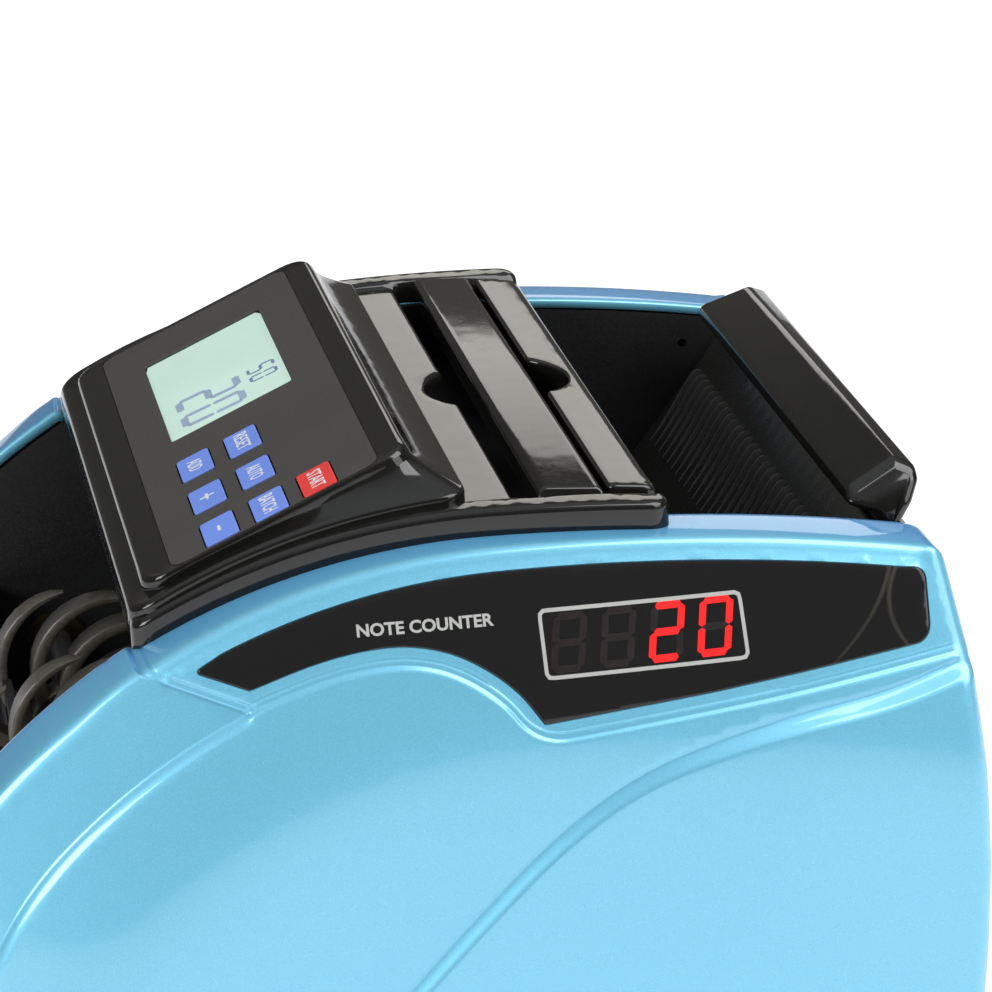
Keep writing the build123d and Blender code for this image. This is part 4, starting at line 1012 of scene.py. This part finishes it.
def finger_mesh(x, turn):
    """A curved finger that thins and narrows to a rounded tip."""
    path = arc_through(polar(12.0, 74), polar(29.0, 42), polar(39.4, 2), 15)
    cos, sin = math.cos(turn), math.sin(turn)
    path = path @ np.array([[cos, sin], [-sin, cos]])
    loops = []
    for t, p, n in zip(np.linspace(0, 1, len(path)), path, left_of(unit(np.gradient(path, axis=0)))):
        half, thick = WHEEL_W / 2 - 2.4 * t**4, 0.15 + 1.85 * (1 - t) ** 0.6
        half, thick = (half, thick) if t < 0.99 else (half * 0.55, thick * 0.5)
        section = [(-half, -thick * 0.6), (-half * 0.9, -thick), (half * 0.9, -thick), (half, -thick * 0.6)]
        section += [(-u, -v) for u, v in section]
        loops.append([(x + u, WHEEL_C[0] + p[0] + n[0] * v, WHEEL_C[1] + p[1] + n[1] * v) for u, v in section])
    return loops_solid(loops)


def hub_mesh(x, count=40):
    """The wheel's ringed hub, bored for its shaft."""
    half = WHEEL_W / 2
    profile = [(4.0, 0), (7.0, 0), (7.4, 1), (12.2, 1), (12.6, 0), (13.6, 0), (14.0, 0.4)]
    profile = [(r, u - half) for r, u in profile] + [(r, half - u) for r, u in profile[::-1]]
    rings = [arc_points(WHEEL_C, r, 0, 2 * math.pi, count + 1)[:-1] for r, _ in profile]
    return loops_ring([[(x + u, *p) for p in ring] for ring, (_, u) in zip(rings, profile)])


wheel_parts = []
for x in (-WHEEL_X, WHEEL_X):
    wheel_parts.append(hub_mesh(x))
    wheel_parts += [finger_mesh(x, 2 * math.pi * i / FINGERS) for i in range(FINGERS)]
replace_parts(new_object("finger_wheels_skin", *merge(*wheel_parts), WHEEL_BLACK_AND_PAINTED_REFLECTION, "wheels", "wheel_black", 45), "finger_wheels")


# ---------- studio
def softbox(name, at, toward, width, height, watts, color=(1.0, 1.0, 1.0)):
    """A rectangular area light aimed at a point; metres."""
    light = bpy.data.lights.new(name, "AREA")
    light.shape = "RECTANGLE"
    light.size, light.size_y = width, height
    light.energy = watts
    light.color = color
    lamp = bpy.data.objects.new(name, light)
    lamp.location = at
    lamp.rotation_euler = (Vector(toward) - Vector(at)).to_track_quat("-Z", "Y").to_euler()
    bpy.context.collection.objects.link(lamp)


floor_mat = matte("studio_floor", (0.86, 0.86, 0.86), 0.6, 40, 0.01, 0.015)
floor_mesh = bpy.data.meshes.new("studio_floor")
floor_mesh.from_pydata([(-6, -5, 0), (4, -5, 0), (4, 5, 0), (-6, 5, 0)], [], [(0, 1, 2, 3)])
floor = bpy.data.objects.new("studio_floor", floor_mesh)
bpy.context.collection.objects.link(floor)
floor_mesh.materials.append(floor_mat)
set_inputs(floor_mat.node_tree.nodes["Principled BSDF"], Emission_Color=(1, 1, 1, 1), Emission_Strength=0.45)

world = bpy.data.worlds.new("studio")
sky = Look(world, "Background")
split = sky.add("SeparateXYZ", sky.add("TexCoord").outputs["Generated"])
dome = [(0.0, (0.16, 0.155, 0.14)), (0.50, (0.14, 0.14, 0.13)), (0.78, (0.60, 0.62, 0.65)), (1.0, (0.9, 0.93, 0.98))]
sky.feed(Color=sky.ramp(split.outputs["Z"], dome))
set_inputs(sky.shader, Strength=0.8)
bpy.context.scene.world = world
bpy.context.scene.view_settings.view_transform = "Standard"

softbox("overhead", (0.38, 0.80, 1.30), (0, 0.02, 0.1), 1.0, 1.0, 16.5)
softbox("rear_side", (1.05, 1.35, 0.95), (0, 0, 0.1), 1.0, 0.8, 7.0)
softbox("front_side", (1.0, -1.5, 0.9), (0, 0, 0.1), 1.0, 0.8, 22)
softbox("far_window", (-1.86, 0.52, 0.80), (0, 0.05, 0.19), 0.75, 0.42, 1.5, (1.0, 0.97, 0.91))

# the camera stands to the machine's right, looking down and a little to its rear
CAMERA_AT, CAMERA_TURN = (1.1109, -0.1382, 0.5456), (70.975, 2.420, 79.718)
camera = bpy.data.objects.new("camera", bpy.data.cameras.new("camera"))
camera.data.lens = 165.1
camera.data.sensor_width = 36.0
camera.data.clip_start, camera.data.clip_end = 0.05, 50
camera.matrix_world = Matrix.LocRotScale(Vector(CAMERA_AT), Euler([math.radians(a) for a in CAMERA_TURN]), None)
bpy.context.collection.objects.link(camera)
bpy.context.scene.camera = camera
